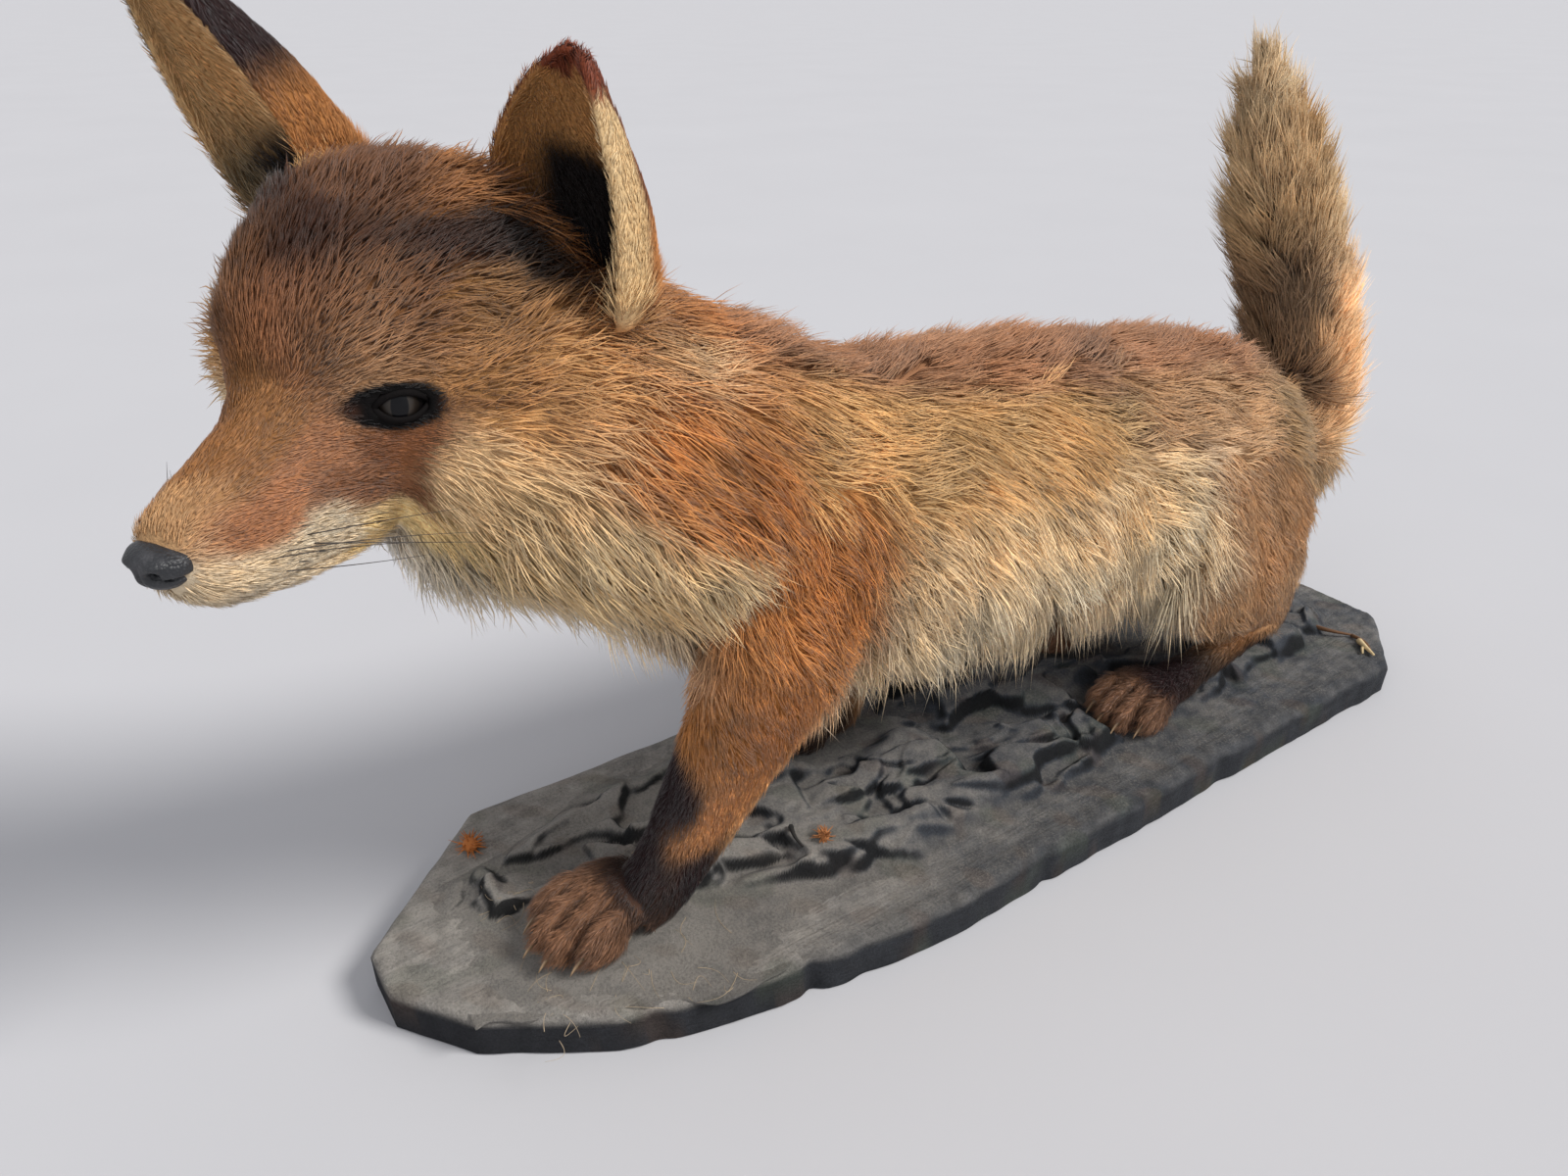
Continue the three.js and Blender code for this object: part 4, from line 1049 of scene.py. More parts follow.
def tuft_tones(kind, root, tone, chance, broad, length):
    """Tone of each tuft point: darker at the root as painted shade deep in the coat, nearly
    full at the last ring, paler at the tip or now and then dark, and varied in light and
    warmth from lock to lock."""
    count = len(root)
    light = (0.86 + 0.16 * chance[:, 1] + 0.20 * (chance[:, 2] - 0.5) + rng.normal(0, 0.09, count)
             + 0.30 * (broad[:, 1] - 0.4) * np.clip(length / 24, 0, 1)
             + 0.10 * waves(root, 60, 21) + 0.08 * waves(root, 16, 22))
    warm = 0.07 * (chance[:, 0] - 0.5) + 0.05 * waves(root, 45, 23) + rng.normal(0, 0.02, count)
    tint = np.column_stack([1 + warm, np.ones(count), 1 - 1.4 * warm])
    dark_tip = (rng.uniform(0, 1, count) < 0.06) & (length > 14)
    base = tone * tint * np.clip(light, 0.4, 1.5)[:, None]
    # painted shade: the root is darker, more so for long hair and for wool
    depth = np.clip(length / 26, 0.2, 1) * (0.38 if kind == "wool" else 0.32)
    low = base * (1 - depth)[:, None]
    high = base * np.where(dark_tip, 0.55, 1.22)[:, None]
    steps = {"guard": (0.45, 0.9), "wool": (0.6,), "fine": (0.7,)}[kind]
    rings = [low * (1 - s) + base * s for s in steps]
    return np.repeat(np.stack([low, *rings, high], 1), [1] + [3] * len(steps) + [1], axis=1)


print("guard tuft", len(tuft_faces(2)), "triangles, wool and fine tufts", len(tuft_faces(1)))

# %% [markdown]
# ## Where the coat's colours are kept
# Each coat piece carries a map named OFBake. The skin is unwrapped zone by zone: every
# zone is a tube round its line, slit and laid flat in a tile of its own, and each tuft is
# a small patch at the place of its root. A tuft so keeps one small spot of colour.

# %% Unwrap and build the coat pieces
PATCH = 0.003  # width of a tuft's patch, as a share of the square
# coat pieces that are made in a left and a right half
HALVED = {"flank", "rump", "ears", "front", "ruff", "face", "neck"}


def unwrap(root, zone):
    """Place of each root in the square: angle round its zone's line, and share along it.
    The piece's zones share out the square in equal tiles."""
    ear = {len(ZONE_PIECE): 1, len(ZONE_PIECE) + 1: -1}
    place = np.zeros((len(root), 2))
    kinds = np.unique(zone)
    tiles = int(np.ceil(np.sqrt(len(kinds))))
    for index, kind in enumerate(kinds):
        here = zone == kind
        if kind in ear:
            centre = ear_frame(ear[kind], rows=4)[0]
            start, end = centre[0], centre[-1]
        else:
            start, end = ZONE_FROM[kind], ZONE_TO[kind]
        axis = unit(end - start)
        sideways = unit(np.cross(axis, [0.31, 0.52, 0.79]))
        away = root[here] - start
        angle = np.arctan2(away @ np.cross(axis, sideways), away @ sideways) / (2 * np.pi) + 0.5
        along = away @ axis
        along = (along - along.min()) / max(np.ptp(along), 1e-6)
        corner = np.array([index % tiles, index // tiles])
        place[here] = (corner + 0.03 + 0.94 * np.column_stack([angle, along])) / tiles
    return place


def coat_piece(name, parts):
    """One mesh of tufts with their tones and their map, from parts of each kind."""
    points, faces, tones, spots, start = [], [], [], [], 0
    for kind, shape, pattern, tone, place in parts:
        count, corners = shape.shape[:2]
        points.append(shape.reshape(-1, 3))
        faces.append((np.arange(count)[:, None, None] * corners + pattern + start).reshape(-1, 3))
        tones.append(tone.reshape(-1, 3))
        rings = len(RING_WIDTHS[kind])
        across = np.array([0.5] + [0.0, 1.0, 0.5] * rings + [0.5]) - 0.5
        along = np.repeat([0.0, *RING_PLACES[kind], 1.0], [1] + [3] * rings + [1]) - 0.5
        spots.append((place[:, None] + PATCH * np.column_stack([across, along])).reshape(-1, 2))
        start += count * corners
    points, faces, tones, spots = map(np.vstack, (points, faces, tones, spots))
    piece = new_piece(name, points, faces, tones)
    bake = piece.data.uv_layers.new(name="OFBake")
    bake.data.foreach_set("uv", np.clip(spots[faces.ravel()], 0, 1).ravel())
    return piece


grown = {}
for kind, (root, normal) in roots.items():
    lie, hair, tone, piece, zone = coat_at(root, normal)
    shape, pattern, chance, broad = shape_tufts(kind, root, normal, lie, hair)
    tones = tuft_tones(kind, root, tone, chance, broad, hair[:, 0])
    side = np.where(root[:, 0] > 0, "left", "right")
    for name in np.unique(piece):
        here = piece == name
        for half in (("left", "right") if name in HALVED else ("",)):
            mine = here & (side == half) if half else here
            key = f"coat_{name}_{half}" if half else f"coat_{name}"
            if mine.any():
                grown.setdefault(key, []).append(
                    (kind, shape[mine], pattern, tones[mine], unwrap(root[mine], zone[mine])))
coat = [coat_piece(name, parts) for name, parts in grown.items()]
coat_sizes = {piece.name: len(piece.data.polygons) for piece in coat}
print(sum(coat_sizes.values()), "triangles of coat;", coat_sizes)

# %% [markdown]
# ## Glass eyes in dark lids
# A mount has glass eyes: a ball with a slightly steeper clear front, a dark brown iris
# and an upright slit pupil, as foxes have. The ball is turned round its gaze, and every
# point keeps its place seen from the front, so that the finish can draw iris and pupil.
# A thin dark margin, a bead that follows the almond opening, closes the lid on the glass.

# %% Eyeballs and lid margins
def eyeball(side):
    """Ball round the gaze: radius R, plus a cap 0.9 (1 - (angle / 38 deg)^2) for the cornea."""
    centre, gaze, outer, upward = eye_frame(side)
    polar = np.linspace(0, np.pi, 42)[1:-1, None]
    turn = 2 * np.pi * np.arange(64)[None] / 64
    radius = EYE["radius"] - 0.5 + 0.9 * np.clip(1 - (polar / np.radians(38)) ** 2, 0, 1)
    face = radius * np.sin(polar)
    depth = radius * np.cos(polar) + 0 * turn
    local = np.stack([face * np.cos(turn), face * np.sin(turn), depth], -1)
    local = np.vstack([local.reshape(-1, 3), [[0, 0, radius[0, 0]]], [[0, 0, -radius[-1, 0]]]])
    points = centre + local @ np.stack([outer, upward, gaze])
    piece = new_piece("eyeball_left" if side > 0 else "eyeball_right", points, tube_faces(40, 64))
    layer = piece.data.attributes.new("gaze", "FLOAT_VECTOR", "POINT")
    layer.data.foreach_set("vector", (local / EYE["radius"]).ravel())
    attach(piece, "root")
    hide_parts("eye_left" if side > 0 else "eye_right")
    return piece


def lid_margin(side):
    """Bead round the opening: a closed tube, thickest at the inner corner."""
    centre, gaze, outer, upward = eye_frame(side)
    steps, sides = 96, 12
    turn = 2 * np.pi * np.arange(steps) / steps
    along, rise = opening_curve(turn)
    depth = np.sqrt(np.maximum(LID_BALL**2 - along**2 - rise**2, 20.0))
    middle = centre + along[:, None] * outer + rise[:, None] * upward + (depth + 0.1)[:, None] * gaze
    ahead = unit(np.roll(middle, -1, 0) - np.roll(middle, 1, 0))
    outward = unit(middle - centre)
    wide = np.cross(ahead, outward)
    size = 0.85 + 0.5 * np.clip(-np.cos(turn), 0, 1) ** 2
    ring = 2 * np.pi * np.arange(sides) / sides
    rings = middle[:, None] + size[:, None, None] * (
        wide[:, None] * (1.35 * np.cos(ring))[:, None] + outward[:, None] * np.sin(ring)[:, None])
    i, k = np.meshgrid(np.arange(steps), np.arange(sides), indexing="ij")
    here, after = i * sides, (i + 1) % steps * sides
    a, b, c, d = here + k, here + (k + 1) % sides, after + k, after + (k + 1) % sides
    faces = np.stack([a, b, c, b, d, c], -1).reshape(-1, 3)
    return rings.reshape(-1, 3), faces


eyeballs = [eyeball(1), eyeball(-1)]
lid_margins = new_piece("lid_margins", *merged([lid_margin(1), lid_margin(-1)]))
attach(lid_margins, "root")
print("eyes:", [len(piece.data.polygons) for piece in (*eyeballs, lid_margins)])

# %% [markdown]
# ## Nose pad
# The bare nose is dark, pebbled leather with two comma-shaped nostrils and a groove
# between them. A ball is shaped by a few named dents, in the head's own directions.

# %% Nose
NOSE = {"front": 74, "up": -26.5, "wide": 10.5, "long": 9.5, "high": 8.2}


def nose_pad():
    """Ball of the nose's half sizes; the top is flattened, the nostrils and the groove are
    Gaussian dents of the front, and a comma-shaped slit runs out from each nostril."""
    points, faces = ball([0, 0, 0], [1, 1, 1], sides=120, rings=72)
    side, front, up = (points * [NOSE["wide"], -NOSE["long"], NOSE["high"]]).T
    ahead = smoothstep(-3, 3, front)
    away = np.abs(side)
    dent = 3.6 * np.exp(-((away - 4.4) / 1.7) ** 2 - ((up + 0.6) / 1.7) ** 2) * ahead
    dent += 2.4 * np.exp(-((away - 7.8) / 2.6) ** 2 - ((up + 2.2) / 0.85) ** 2)
    dent += 1.0 * np.exp(-(side / 0.6) ** 2) * smoothstep(3.5, 0, up) * ahead
    lip = 0.9 * np.exp(-((away - 4.6) / 2.4) ** 2 - ((up - 2.8) / 1.2) ** 2) * ahead
    grow = 1 + (lip - dent) / 9
    local = np.column_stack([side * (1 - 0.12 * smoothstep(0, -7, up)), front, up]) * grow[:, None]
    roof = 4.2 + 0.16 * (front - 4)
    local[:, 2] = np.where(local[:, 2] > roof, roof + 0.45 * (local[:, 2] - roof), local[:, 2])
    return on_head(local + [0, NOSE["front"], NOSE["up"]]), faces


nose_points, nose_faces = nose_pad()
nose = new_piece("nose_pad", nose_points, nose_faces)
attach(nose, "root")
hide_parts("nose")
print("nose:", len(nose.data.polygons), "triangles")

# %% [markdown]
# ## Claws and whiskers
# Claws are curved cones of pale horn, darker at the root, flattened from side to side.
# Whiskers are long dark bristles in rows on the lip, with a few over the brow; most are
# broken short on an old mount. Both are tapered tubes along bent paths.

# %% Claws
def bent_cone(path, radii, sides=10, flat=1.0):
    """Tapered tube: rings of the given radii round the path's points, squeezed by flat."""
    path, radii = np.asarray(path, float), np.asarray(radii, float)
    along = unit(np.gradient(path, axis=0))
    wide = unit(np.cross(along, [0, 0, 1.0]))
    high = np.cross(wide, along)
    turn = 2 * np.pi * np.arange(sides) / sides
    rings = path[:, None] + radii[:, None, None] * (
        wide[:, None] * (flat * np.cos(turn))[:, None] + high[:, None] * np.sin(turn)[:, None])
    return np.vstack([rings.reshape(-1, 3), path[:1], path[-1:]]), tube_faces(len(path), sides)


CLAW_RINGS, CLAW_SIDES = 9, 10


def paw_claws(name):
    """One claw in front of each toe: the path drops by the square of its share."""
    paw = PAWS[name]
    turn, foot = paw_frame(name)
    share = np.linspace(0, 1, CLAW_RINGS)
    made = []
    for lane in TOE_LANES:
        front = toe_front(paw, lane) + paw["long"] * 0.13
        side = lane * paw["wide"] * TOE_SHARE * TOE_PITCH
        path = np.column_stack([side + 0 * share, -(front + 12.5 * share),
                                paw["high"] * 0.36 + 2.0 * share - 8.0 * share**2])
        radii = 1.9 * (1 - share) ** 0.7 + 0.2
        made.append(bent_cone(foot + path @ turn.T, radii, CLAW_SIDES, 0.7))
    return made


claw_parts = [claw for name in PAWS for claw in paw_claws(name)]
one_claw = np.append(np.repeat(np.linspace(0, 1, CLAW_RINGS), CLAW_SIDES), [0, 1])
claw_share = np.tile(one_claw, len(claw_parts))[:, None]
claw_tone = linear((44, 33, 27)) * (1 - claw_share) + linear((158, 130, 98)) * claw_share
claws = new_piece("claws", *merged(claw_parts), claw_tone)
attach(claws, "root")
print("claws:", len(claw_parts))


# %% Whiskers
def whisker(start, lean, length, drop, side):
    """Bristle on the head: start plus lean times its share, bending down by drop s^2."""
    s = np.linspace(0, 1, 16)[:, None]
    lean = unit(np.array(lean, float)) * length
    local = np.array(start, float) + lean * s + np.array([0, 0, -drop]) * s**2
    return bent_cone(on_head(local * [side, 1, 1]), 0.20 * (1 - s[:, 0]) ** 0.8 + 0.04, 5)


draw = np.random.default_rng(23)
whisker_parts = []
for side in (1, -1):
    for row, up in enumerate((-29, -33, -37, -41)):
        for column in range(4):
            front = 62 - 7 * column - 1.5 * row
            start = (13.6 + 1.9 * column, front, up)
            whole = draw.uniform() < 0.3
            length = draw.uniform(42, 68) if whole else draw.uniform(3, 7)
            lean = (0.5 + 0.4 * draw.uniform(), -0.7, -0.35 + 0.5 * draw.uniform())
            whisker_parts.append(whisker(start, lean, length, draw.uniform(-6, 10) * whole, side))
    for start in ((17, 3, 21), (20, -1, 24), (38, -14, -30)):
        whisker_parts.append(whisker(start, (0.6, -0.5, 0.4), draw.uniform(18, 34), 6, side))
whiskers = new_piece("whiskers", *merged(whisker_parts))
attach(whiskers, "root")
print("whiskers:", len(whisker_parts))

# %% [markdown]
# ## The board
# The board is a worn slab of wood, cut to corners by hand. A tube carried along its
# length has, in each row, the board's left and right limits there, so the outline comes
# from two short tables; edges are rounded, chipped here and there, and one gash and a few
# saw waves are pressed into the top.

# %% Board
BOARD_THICK = 24.0
# outline of the board: y and x of its corners on each side
LEFT_LIMIT = [(-348, -2), (-322, 34), (-268, 70), (-244, 79), (-160, 97), (-100, 104),
              (296, 104), (348, 64)]
RIGHT_LIMIT = [(-348, -34), (-318, -62), (-272, -104), (282, -104), (330, -78), (348, -20)]


def board_limits(y):
    """Left and right limits of the board at y, from the tables, with worn unevenness."""
    left = np.interp(y, *zip(*LEFT_LIMIT))
    right = np.interp(y, *zip(*RIGHT_LIMIT))
    row = np.column_stack([y, 0 * y, 0 * y])
    worn = 0.7 * waves(row, 60, 41) + 0.5 * waves(row, 17, 42)
    chips = sum(deep * np.exp(-((y - at) / half) ** 2) for at, deep, half in
                ((-176, 3.4, 5), (-150, 1.6, 7), (-30, 1.8, 5), (118, 1.5, 9), (-250, 2.0, 6)))
    return left - 0.8 + worn - chips, right + 0.8 + worn


def board_points():
    """Rings across the board from front to back, from right under to left, then over."""
    y = np.linspace(-347.6, 347.6, 330)
    left, right = board_limits(y)
    ends = np.minimum(np.abs(y + 348), np.abs(348 - y))
    corner = np.linspace(0, np.pi / 2, 9)
    radius_low, radius_high = 1.6, 7.5
    half, middle = (left - right)[:, None] / 2, (left + right)[:, None] / 2
    unders = middle + (half - radius_low) * np.linspace(-1, 1, 12)[None]
    low_turn = middle + half - radius_low + radius_low * np.sin(corner)[None]
    low_rise = radius_low * (1 - np.cos(corner))[None] + 0 * half
    high_turn = middle + half - radius_high + radius_high * np.cos(corner)[None]
    high_rise = BOARD_THICK - radius_high + radius_high * np.sin(corner)[None] + 0 * half
    tops = middle + (half - radius_high) * np.linspace(1, -1, 92)[None]
    x = np.hstack([unders, low_turn, high_turn, tops, 2 * middle - high_turn[:, ::-1],
                   2 * middle - low_turn[:, ::-1]])
    z = np.hstack([0 * unders, low_rise, high_rise, 0 * tops + BOARD_THICK, high_rise[:, ::-1],
                   low_rise[:, ::-1]])
    round_end = 2.4 * (1 - np.sqrt(1 - np.clip(1 - ends / 2.4, 0, 1) ** 2))[:, None]
    z = np.where(z > BOARD_THICK / 2, z - round_end, z)
    points = np.stack([x, np.broadcast_to(y[:, None], x.shape), z], -1)
    flat = points.reshape(-1, 3)
    top = smoothstep(BOARD_THICK - 3, BOARD_THICK - 0.5, flat[:, 2])
    stretched = flat * [1, 0.12, 1]
    saw = np.abs(waves(stretched, 9, 45))
    relief = 0.5 * waves(flat, 90, 44) - 0.5 * saw + 0.2 * waves(flat, 6, 46)
    gash = leaf_share(flat, (84, -179), (100, -168), 3.2)
    relief -= 0.45 + 3.2 * gash
    flat[:, 2] += top * np.minimum(relief, 0)
    side = (flat[:, 2] > 1) & (flat[:, 2] < BOARD_THICK - 3)
    flat[:, 0] += side * 0.5 * waves(flat * [1, 1, 3], 12, 47)
    rings, sides = x.shape
    caps = np.array([[middle[0, 0], y[0], 11.0], [middle[-1, 0], y[-1], 11.0]])
    return np.vstack([flat, caps]), tube_faces(rings, sides)


def leaf_share(points, start, end, wide):
    """1 inside a leaf between two points, 0 outside; its half width is wide sin(pi t)^0.8."""
    start, end = np.array(start, float), np.array(end, float)
    axis = end - start
    away = points[:, :2] - start
    t = (away @ axis) / (axis @ axis)
    across = np.abs(away @ np.array([-axis[1], axis[0]])) / np.linalg.norm(axis)
    half = wide * np.clip(np.sin(np.pi * np.clip(t, 0, 1)), 0, 1) ** 0.8 + 1e-3
    return smoothstep(1.12, 0.9, across / half) * (t > 0) * (t < 1)


board_shape, board_faces = board_points()


# %% Tone of the base: dust on the flats, painted shade in the hollows and on the sides
def base_tone(points, height, steep_and_shade):
    """Dusty brown-grey on top and in front, blue-grey behind and at the near edge, with mossy
    and rusty stains; painted shade makes it nearly black on the sides, on sharp slopes and
    in the moats, and darker where the ground lies low."""
    x, y, z = points.T
    slate, dust = linear((68, 72, 79)), linear((154, 149, 142))
    cover = smoothstep(40, -240, y) * 0.75 + 0.25
    cover = cover + 0.12 * waves(points, 60, 51) + 0.16 * waves(points, 9, 52)
    cover = np.clip(cover - 0.5 * smoothstep(0.35, 1.0, steep_and_shade), 0, 1)[:, None]
    tone = slate * (1 - cover) + dust * cover
    # painted shade: the sides below the top are painted dark
    tone = blend(tone, (44, 45, 49), smoothstep(BOARD_THICK - 2.5, BOARD_THICK - 7, z))
    tone = blend(tone, (54, 57, 62), 0.5 * smoothstep(74, 98, x))
    tone = blend(tone, (84, 92, 74), 0.25 * smoothstep(0.35, 0.8, waves(points, 36, 54)))
    tone = blend(tone, (106, 82, 64), 0.2 * smoothstep(0.45, 0.8, waves(points, 25, 55)))
    # painted shade: sharp slopes and the moats round the slabs turn nearly black
    tone = blend(tone, (22, 23, 25), 0.92 * smoothstep(0.6, 1.5, steep_and_shade))
    # painted shade on the ground: lower places are darker; on the board the height is a random wave
    return tone * (0.86 + 0.14 * np.clip(height, -1, 1)[:, None])


flat_ground = np.zeros(len(board_shape))
board = new_piece("board", board_shape, board_faces,
                  base_tone(board_shape, waves(board_shape, 8, 56), flat_ground))
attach(board, "root")
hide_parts("base_board")
print("board:", len(board.data.polygons), "triangles")

# %% [markdown]
# ## The modelled ground
# Over the board lies ground modelled in a crumpled skin of glued paper or cloth: soft
# ridges, sharp creases, leaf-like slabs whose edges are painted dark as shade, all under
# dust. It is a height over the board worked out at every point of a fine grid: ridges as
# stretched Gaussians, creases as plates of two sizes, each raised and tilted by chance,
# slabs as leaf shapes with a moat painted dark as shade, cracks as leaf-shaped cuts, and
# level beds under the paws. It thins out to nothing at its rim, where it meets the wood.

# %% Ground
GROUND_START, GROUND_LONG, GROUND_WIDE = -322, 650, 156
GROUND_SPAN = 26  # the length is counted in so many steps, and the ends round off over five
GROUND_LEVEL, GROUND_UNDER = 24.05, 21.0
PLATES = ((42.0, 8.0, 0.34, 62), (18.0, 4.4, 0.40, 63))  # size, height, tilt, seed
# middle, half length, half width, turn in degrees, height of the ridges
FOLDS = [
    [-52, -250, 60, 16, 60, 7], [-70, -180, 55, 13, 95, 6], [-20, -175, 60, 14, 70, 7],
    [26, -120, 70, 16, 72, 9], [-25, -110, 55, 14, 115, 8], [48, -45, 62, 17, 84, 10],
    [-4, -30, 65, 18, 60, 9], [-70, -20, 55, 14, 100, 7], [40, 30, 58, 15, 105, 9],
    [-20, 60, 70, 18, 75, 9], [20, 150, 60, 15, 60, 8], [-60, 120, 60, 15, 95, 7],
    [60, 190, 55, 14, 80, 7], [-10, 230, 65, 16, 110, 8], [30, 285, 50, 14, 70, 6],
    [-50, 280, 45, 13, 85, 5],
]
# start, end, half width, thickness of the leaf-like slabs
SLABS = [
    ((38, -128), (78, -22), 15, 6.5), ((74, -40), (66, 18), 8, 4),
    ((-14, -262), (-2, -216), 10, 5), ((-64, -300), (-34, -308), 10, 4),
    ((-50, -330), (-20, -318), 8, 3.5),
    ((-58, -284), (-16, -292), 7, 4), ((-6, -196), (30, -150), 9, 4), ((-40, -232), (4, -212), 9, 5),
    ((30, -70), (58, -10), 12, 4), ((10, 20), (52, 62), 10, 4), ((62, 190), (72, 262), 8, 3.5),
    ((-20, -80), (20, -20), 11, 4), ((-86, -236), (-66, -170), 10, 4), ((-40, 210), (10, 262), 10, 4),
    ((20, 268), (58, 300), 9, 3.5), ((-84, 40), (-62, 110), 9, 4),
]
# where the ground ends and bare wood begins on the left side: y and x
NEAR_LIMIT = [(-348, -20), (-300, 0), (-265, -10), (-248, -8), (-205, 20), (-126, 57), (-84, 77),
              (-30, 87), (0, 73), (60, 60), (250, 60), (348, 40)]
# start, end, half width, depth
CRACKS = [((30, -104), (44, -62), 3.0, 5), ((44, -66), (62, -60), 2.4, 4), ((58, -20), (66, 20), 2.4, 4),
          ((20, -60), (26, -28), 2.6, 4), ((4, -206), (22, -186), 3.0, 4), ((46, 128), (60, 180), 2.4, 3)]


def fold_height(x, y):
    """Sum of stretched Gaussian ridges, each turned to its own heading."""
    height = 1.6 + 0 * x
    for cx, cy, long, wide, turn, high in FOLDS:
        angle = np.radians(turn)
        along = ((x - cx) * np.cos(angle) + (y - cy) * np.sin(angle)) / long
        across = ((y - cy) * np.cos(angle) - (x - cx) * np.sin(angle)) / wide
        height += high * 0.8 * np.exp(-(along**2) * 1.6 - across**2)
    return height


def ground_surface(rows=560, columns=150):
    """Ground over a grid: heights on a strip down the board, a wall round it and a flat
    underside. Also gives the painted shade of each point, from its slope and the moats, and
    how low it lies, which is painted darker too."""
    i, k = np.meshgrid(np.linspace(0, GROUND_SPAN, rows + 1), np.linspace(0, 1, columns + 1),
                       indexing="ij")
    y = GROUND_START + GROUND_LONG * i / GROUND_SPAN
    end = np.minimum(1, np.minimum(i + 1.2, GROUND_SPAN + 1.2 - i) / 5)
    left = (78 + 7 * np.sin(y / 43) + 4 * np.sin(y / 19)) * np.sqrt(end)
    right = (-84 + 5 * np.sin(y / 37 + 2) + 3 * np.sin(y / 15)) * np.sqrt(end)
    ripple = 3.0 * waves(np.stack([0 * y, y, 0 * y], -1).reshape(-1, 3), 22, 61).reshape(y.shape)
    x = right - 2 + (left + ripple - right + 2) * k
    flat = np.column_stack([x.ravel(), y.ravel(), np.zeros(x.size)])
    rim = smoothstep(0, 0.16, np.minimum(k, 1 - k).ravel())
    rim *= smoothstep(0, 1.2, np.minimum(i, GROUND_SPAN - i).ravel())
    warped = flat + 7 * np.column_stack([waves(flat, 42, 67), waves(flat, 42, 68), 0 * flat[:, 0]])
    warped = warped * [1, 0.62, 1]
    height = 0.40 * fold_height(flat[:, 0], flat[:, 1]) - 2.0
    for size, high, tilt, seed in PLATES:
        middle, chance = clumps(warped, np.full(len(flat), size), seed)
        lean = ((warped - middle)[:, :2] * (chance[:, :2] - 0.5)).sum(1)
        height += high * chance[:, 2] + 2 * tilt * lean
    height += 0.4 * waves(flat, 7, 64) + 0.2 * waves(flat, 3.4, 65)
    limit = np.interp(flat[:, 1], *zip(*NEAR_LIMIT)) + 3 * waves(flat, 18, 69)
    spread = smoothstep(5, -4, flat[:, 0] - limit)
    height = height * spread + 0.4 * (1 - spread)
    moat_shade = np.zeros(len(flat))
    for start, stop, wide, thick in SLABS:
        share = leaf_share(flat, start, stop, wide)
        moat = leaf_share(flat, start, stop, wide + 4.5) * (1 - share)
        moat = moat * smoothstep(-0.5, 0.5, waves(flat, 24, 70))
        height = height * (1 - 0.5 * share) + (thick + 1.4) * share - 2.6 * moat
        # the moat round each slab is painted dark as shade
        moat_shade = np.maximum(moat_shade, moat)
    for start, stop, wide, deep in CRACKS:
        height -= deep * leaf_share(flat + 0.8 * waves(flat, 12, 66)[:, None], start, stop, wide)
    for paw in PAWS.values():
        off = np.hypot(flat[:, 0] - paw["at"][0], flat[:, 1] - paw["at"][1] - 4)
        off = off / (paw["long"] * 0.68)
        level = smoothstep(1.25, 0.8, off)
        height = height * (1 - level) + 2.55 * level
    height = (rim * np.clip(height, 0.5, 12.5) - 1.2 * (1 - rim)).reshape(x.shape)
    for _ in range(4):
        held = np.pad(height, 1, "edge")
        height = (held[:-2, 1:-1] + held[2:, 1:-1] + held[1:-1, :-2] + held[1:-1, 2:] + 2 * height) / 6
    height = height.ravel()
    top = np.column_stack([flat[:, :2], GROUND_LEVEL + height])
    across = columns + 1
    a = (np.arange(rows)[:, None] * across + np.arange(columns)).ravel()
    b, c, d = a + 1, a + across, a + across + 1
    lids = np.stack([a, b, c, b, d, c], -1).reshape(-1, 3)
    rows_edge = np.arange(rows + 1) * across
    loop = np.concatenate([np.arange(columns), rows_edge[:-1] + columns,
                           rows * across + np.arange(columns, 0, -1), rows_edge[:0:-1]])
    rest = len(top) + np.arange(len(loop))
    after, beside, centre = np.roll(loop, -1), np.roll(rest, -1), len(top) + len(loop)
    wall = np.stack([loop, rest, after, after, rest, beside], -1).reshape(-1, 3)
    floor = np.stack([rest, np.full(len(loop), centre), beside], -1)
    under = np.column_stack([flat[loop, :2], np.full(len(loop), GROUND_UNDER)])
    grid = height.reshape(rows + 1, across)
    slope = np.hypot(np.gradient(grid, axis=0) * rows / GROUND_LONG,
                     np.gradient(grid, axis=1) * columns / GROUND_WIDE)
    # painted shade: sharp slopes and the moats get dark
    dark = slope.ravel() + 0.9 * moat_shade * rim
    points = np.vstack([top, under, under.mean(0)])
    spare = np.zeros(len(points) - len(top))
    # how low each point lies, for painted shade in low places
    hollow_shade = np.concatenate([(height - 3.5) / 4, spare])
    return points, np.vstack([lids, wall, floor]), np.concatenate([dark, spare]), hollow_shade


# slope carries the painted shade of each point, from its slope and the moats
ground_points, ground_faces, slope, hollow_shade = ground_surface()
tone = base_tone(ground_points, hollow_shade, slope)
ground = new_piece("modelled_ground", ground_points, ground_faces, tone)
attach(ground, "root")
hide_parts("base_ground")
print("ground:", len(ground.data.polygons), "triangles")

# %% [markdown]
# ## Small things fixed on the ground
# Two spiky seed husks, a short dark twig, a curled dry leaf stalk with pale bits and some
# shed hairs lie stuck in the dust. They are balls and bent tubes, joined to one piece.

# %% Husks, twig, stalk and loose hairs
def ground_height(x, y):
    """Height of the ground next to a place seen from above. The front half of the ground's
    points is searched; anywhere else a thing lies at the level of the board."""
    count = len(ground_points) // 2
    gap = (ground_points[:count, 0] - x) ** 2 + (ground_points[:count, 1] - y) ** 2
    return ground_points[gap.argmin(), 2] if gap.min() < 9 else BOARD_THICK - 0.4


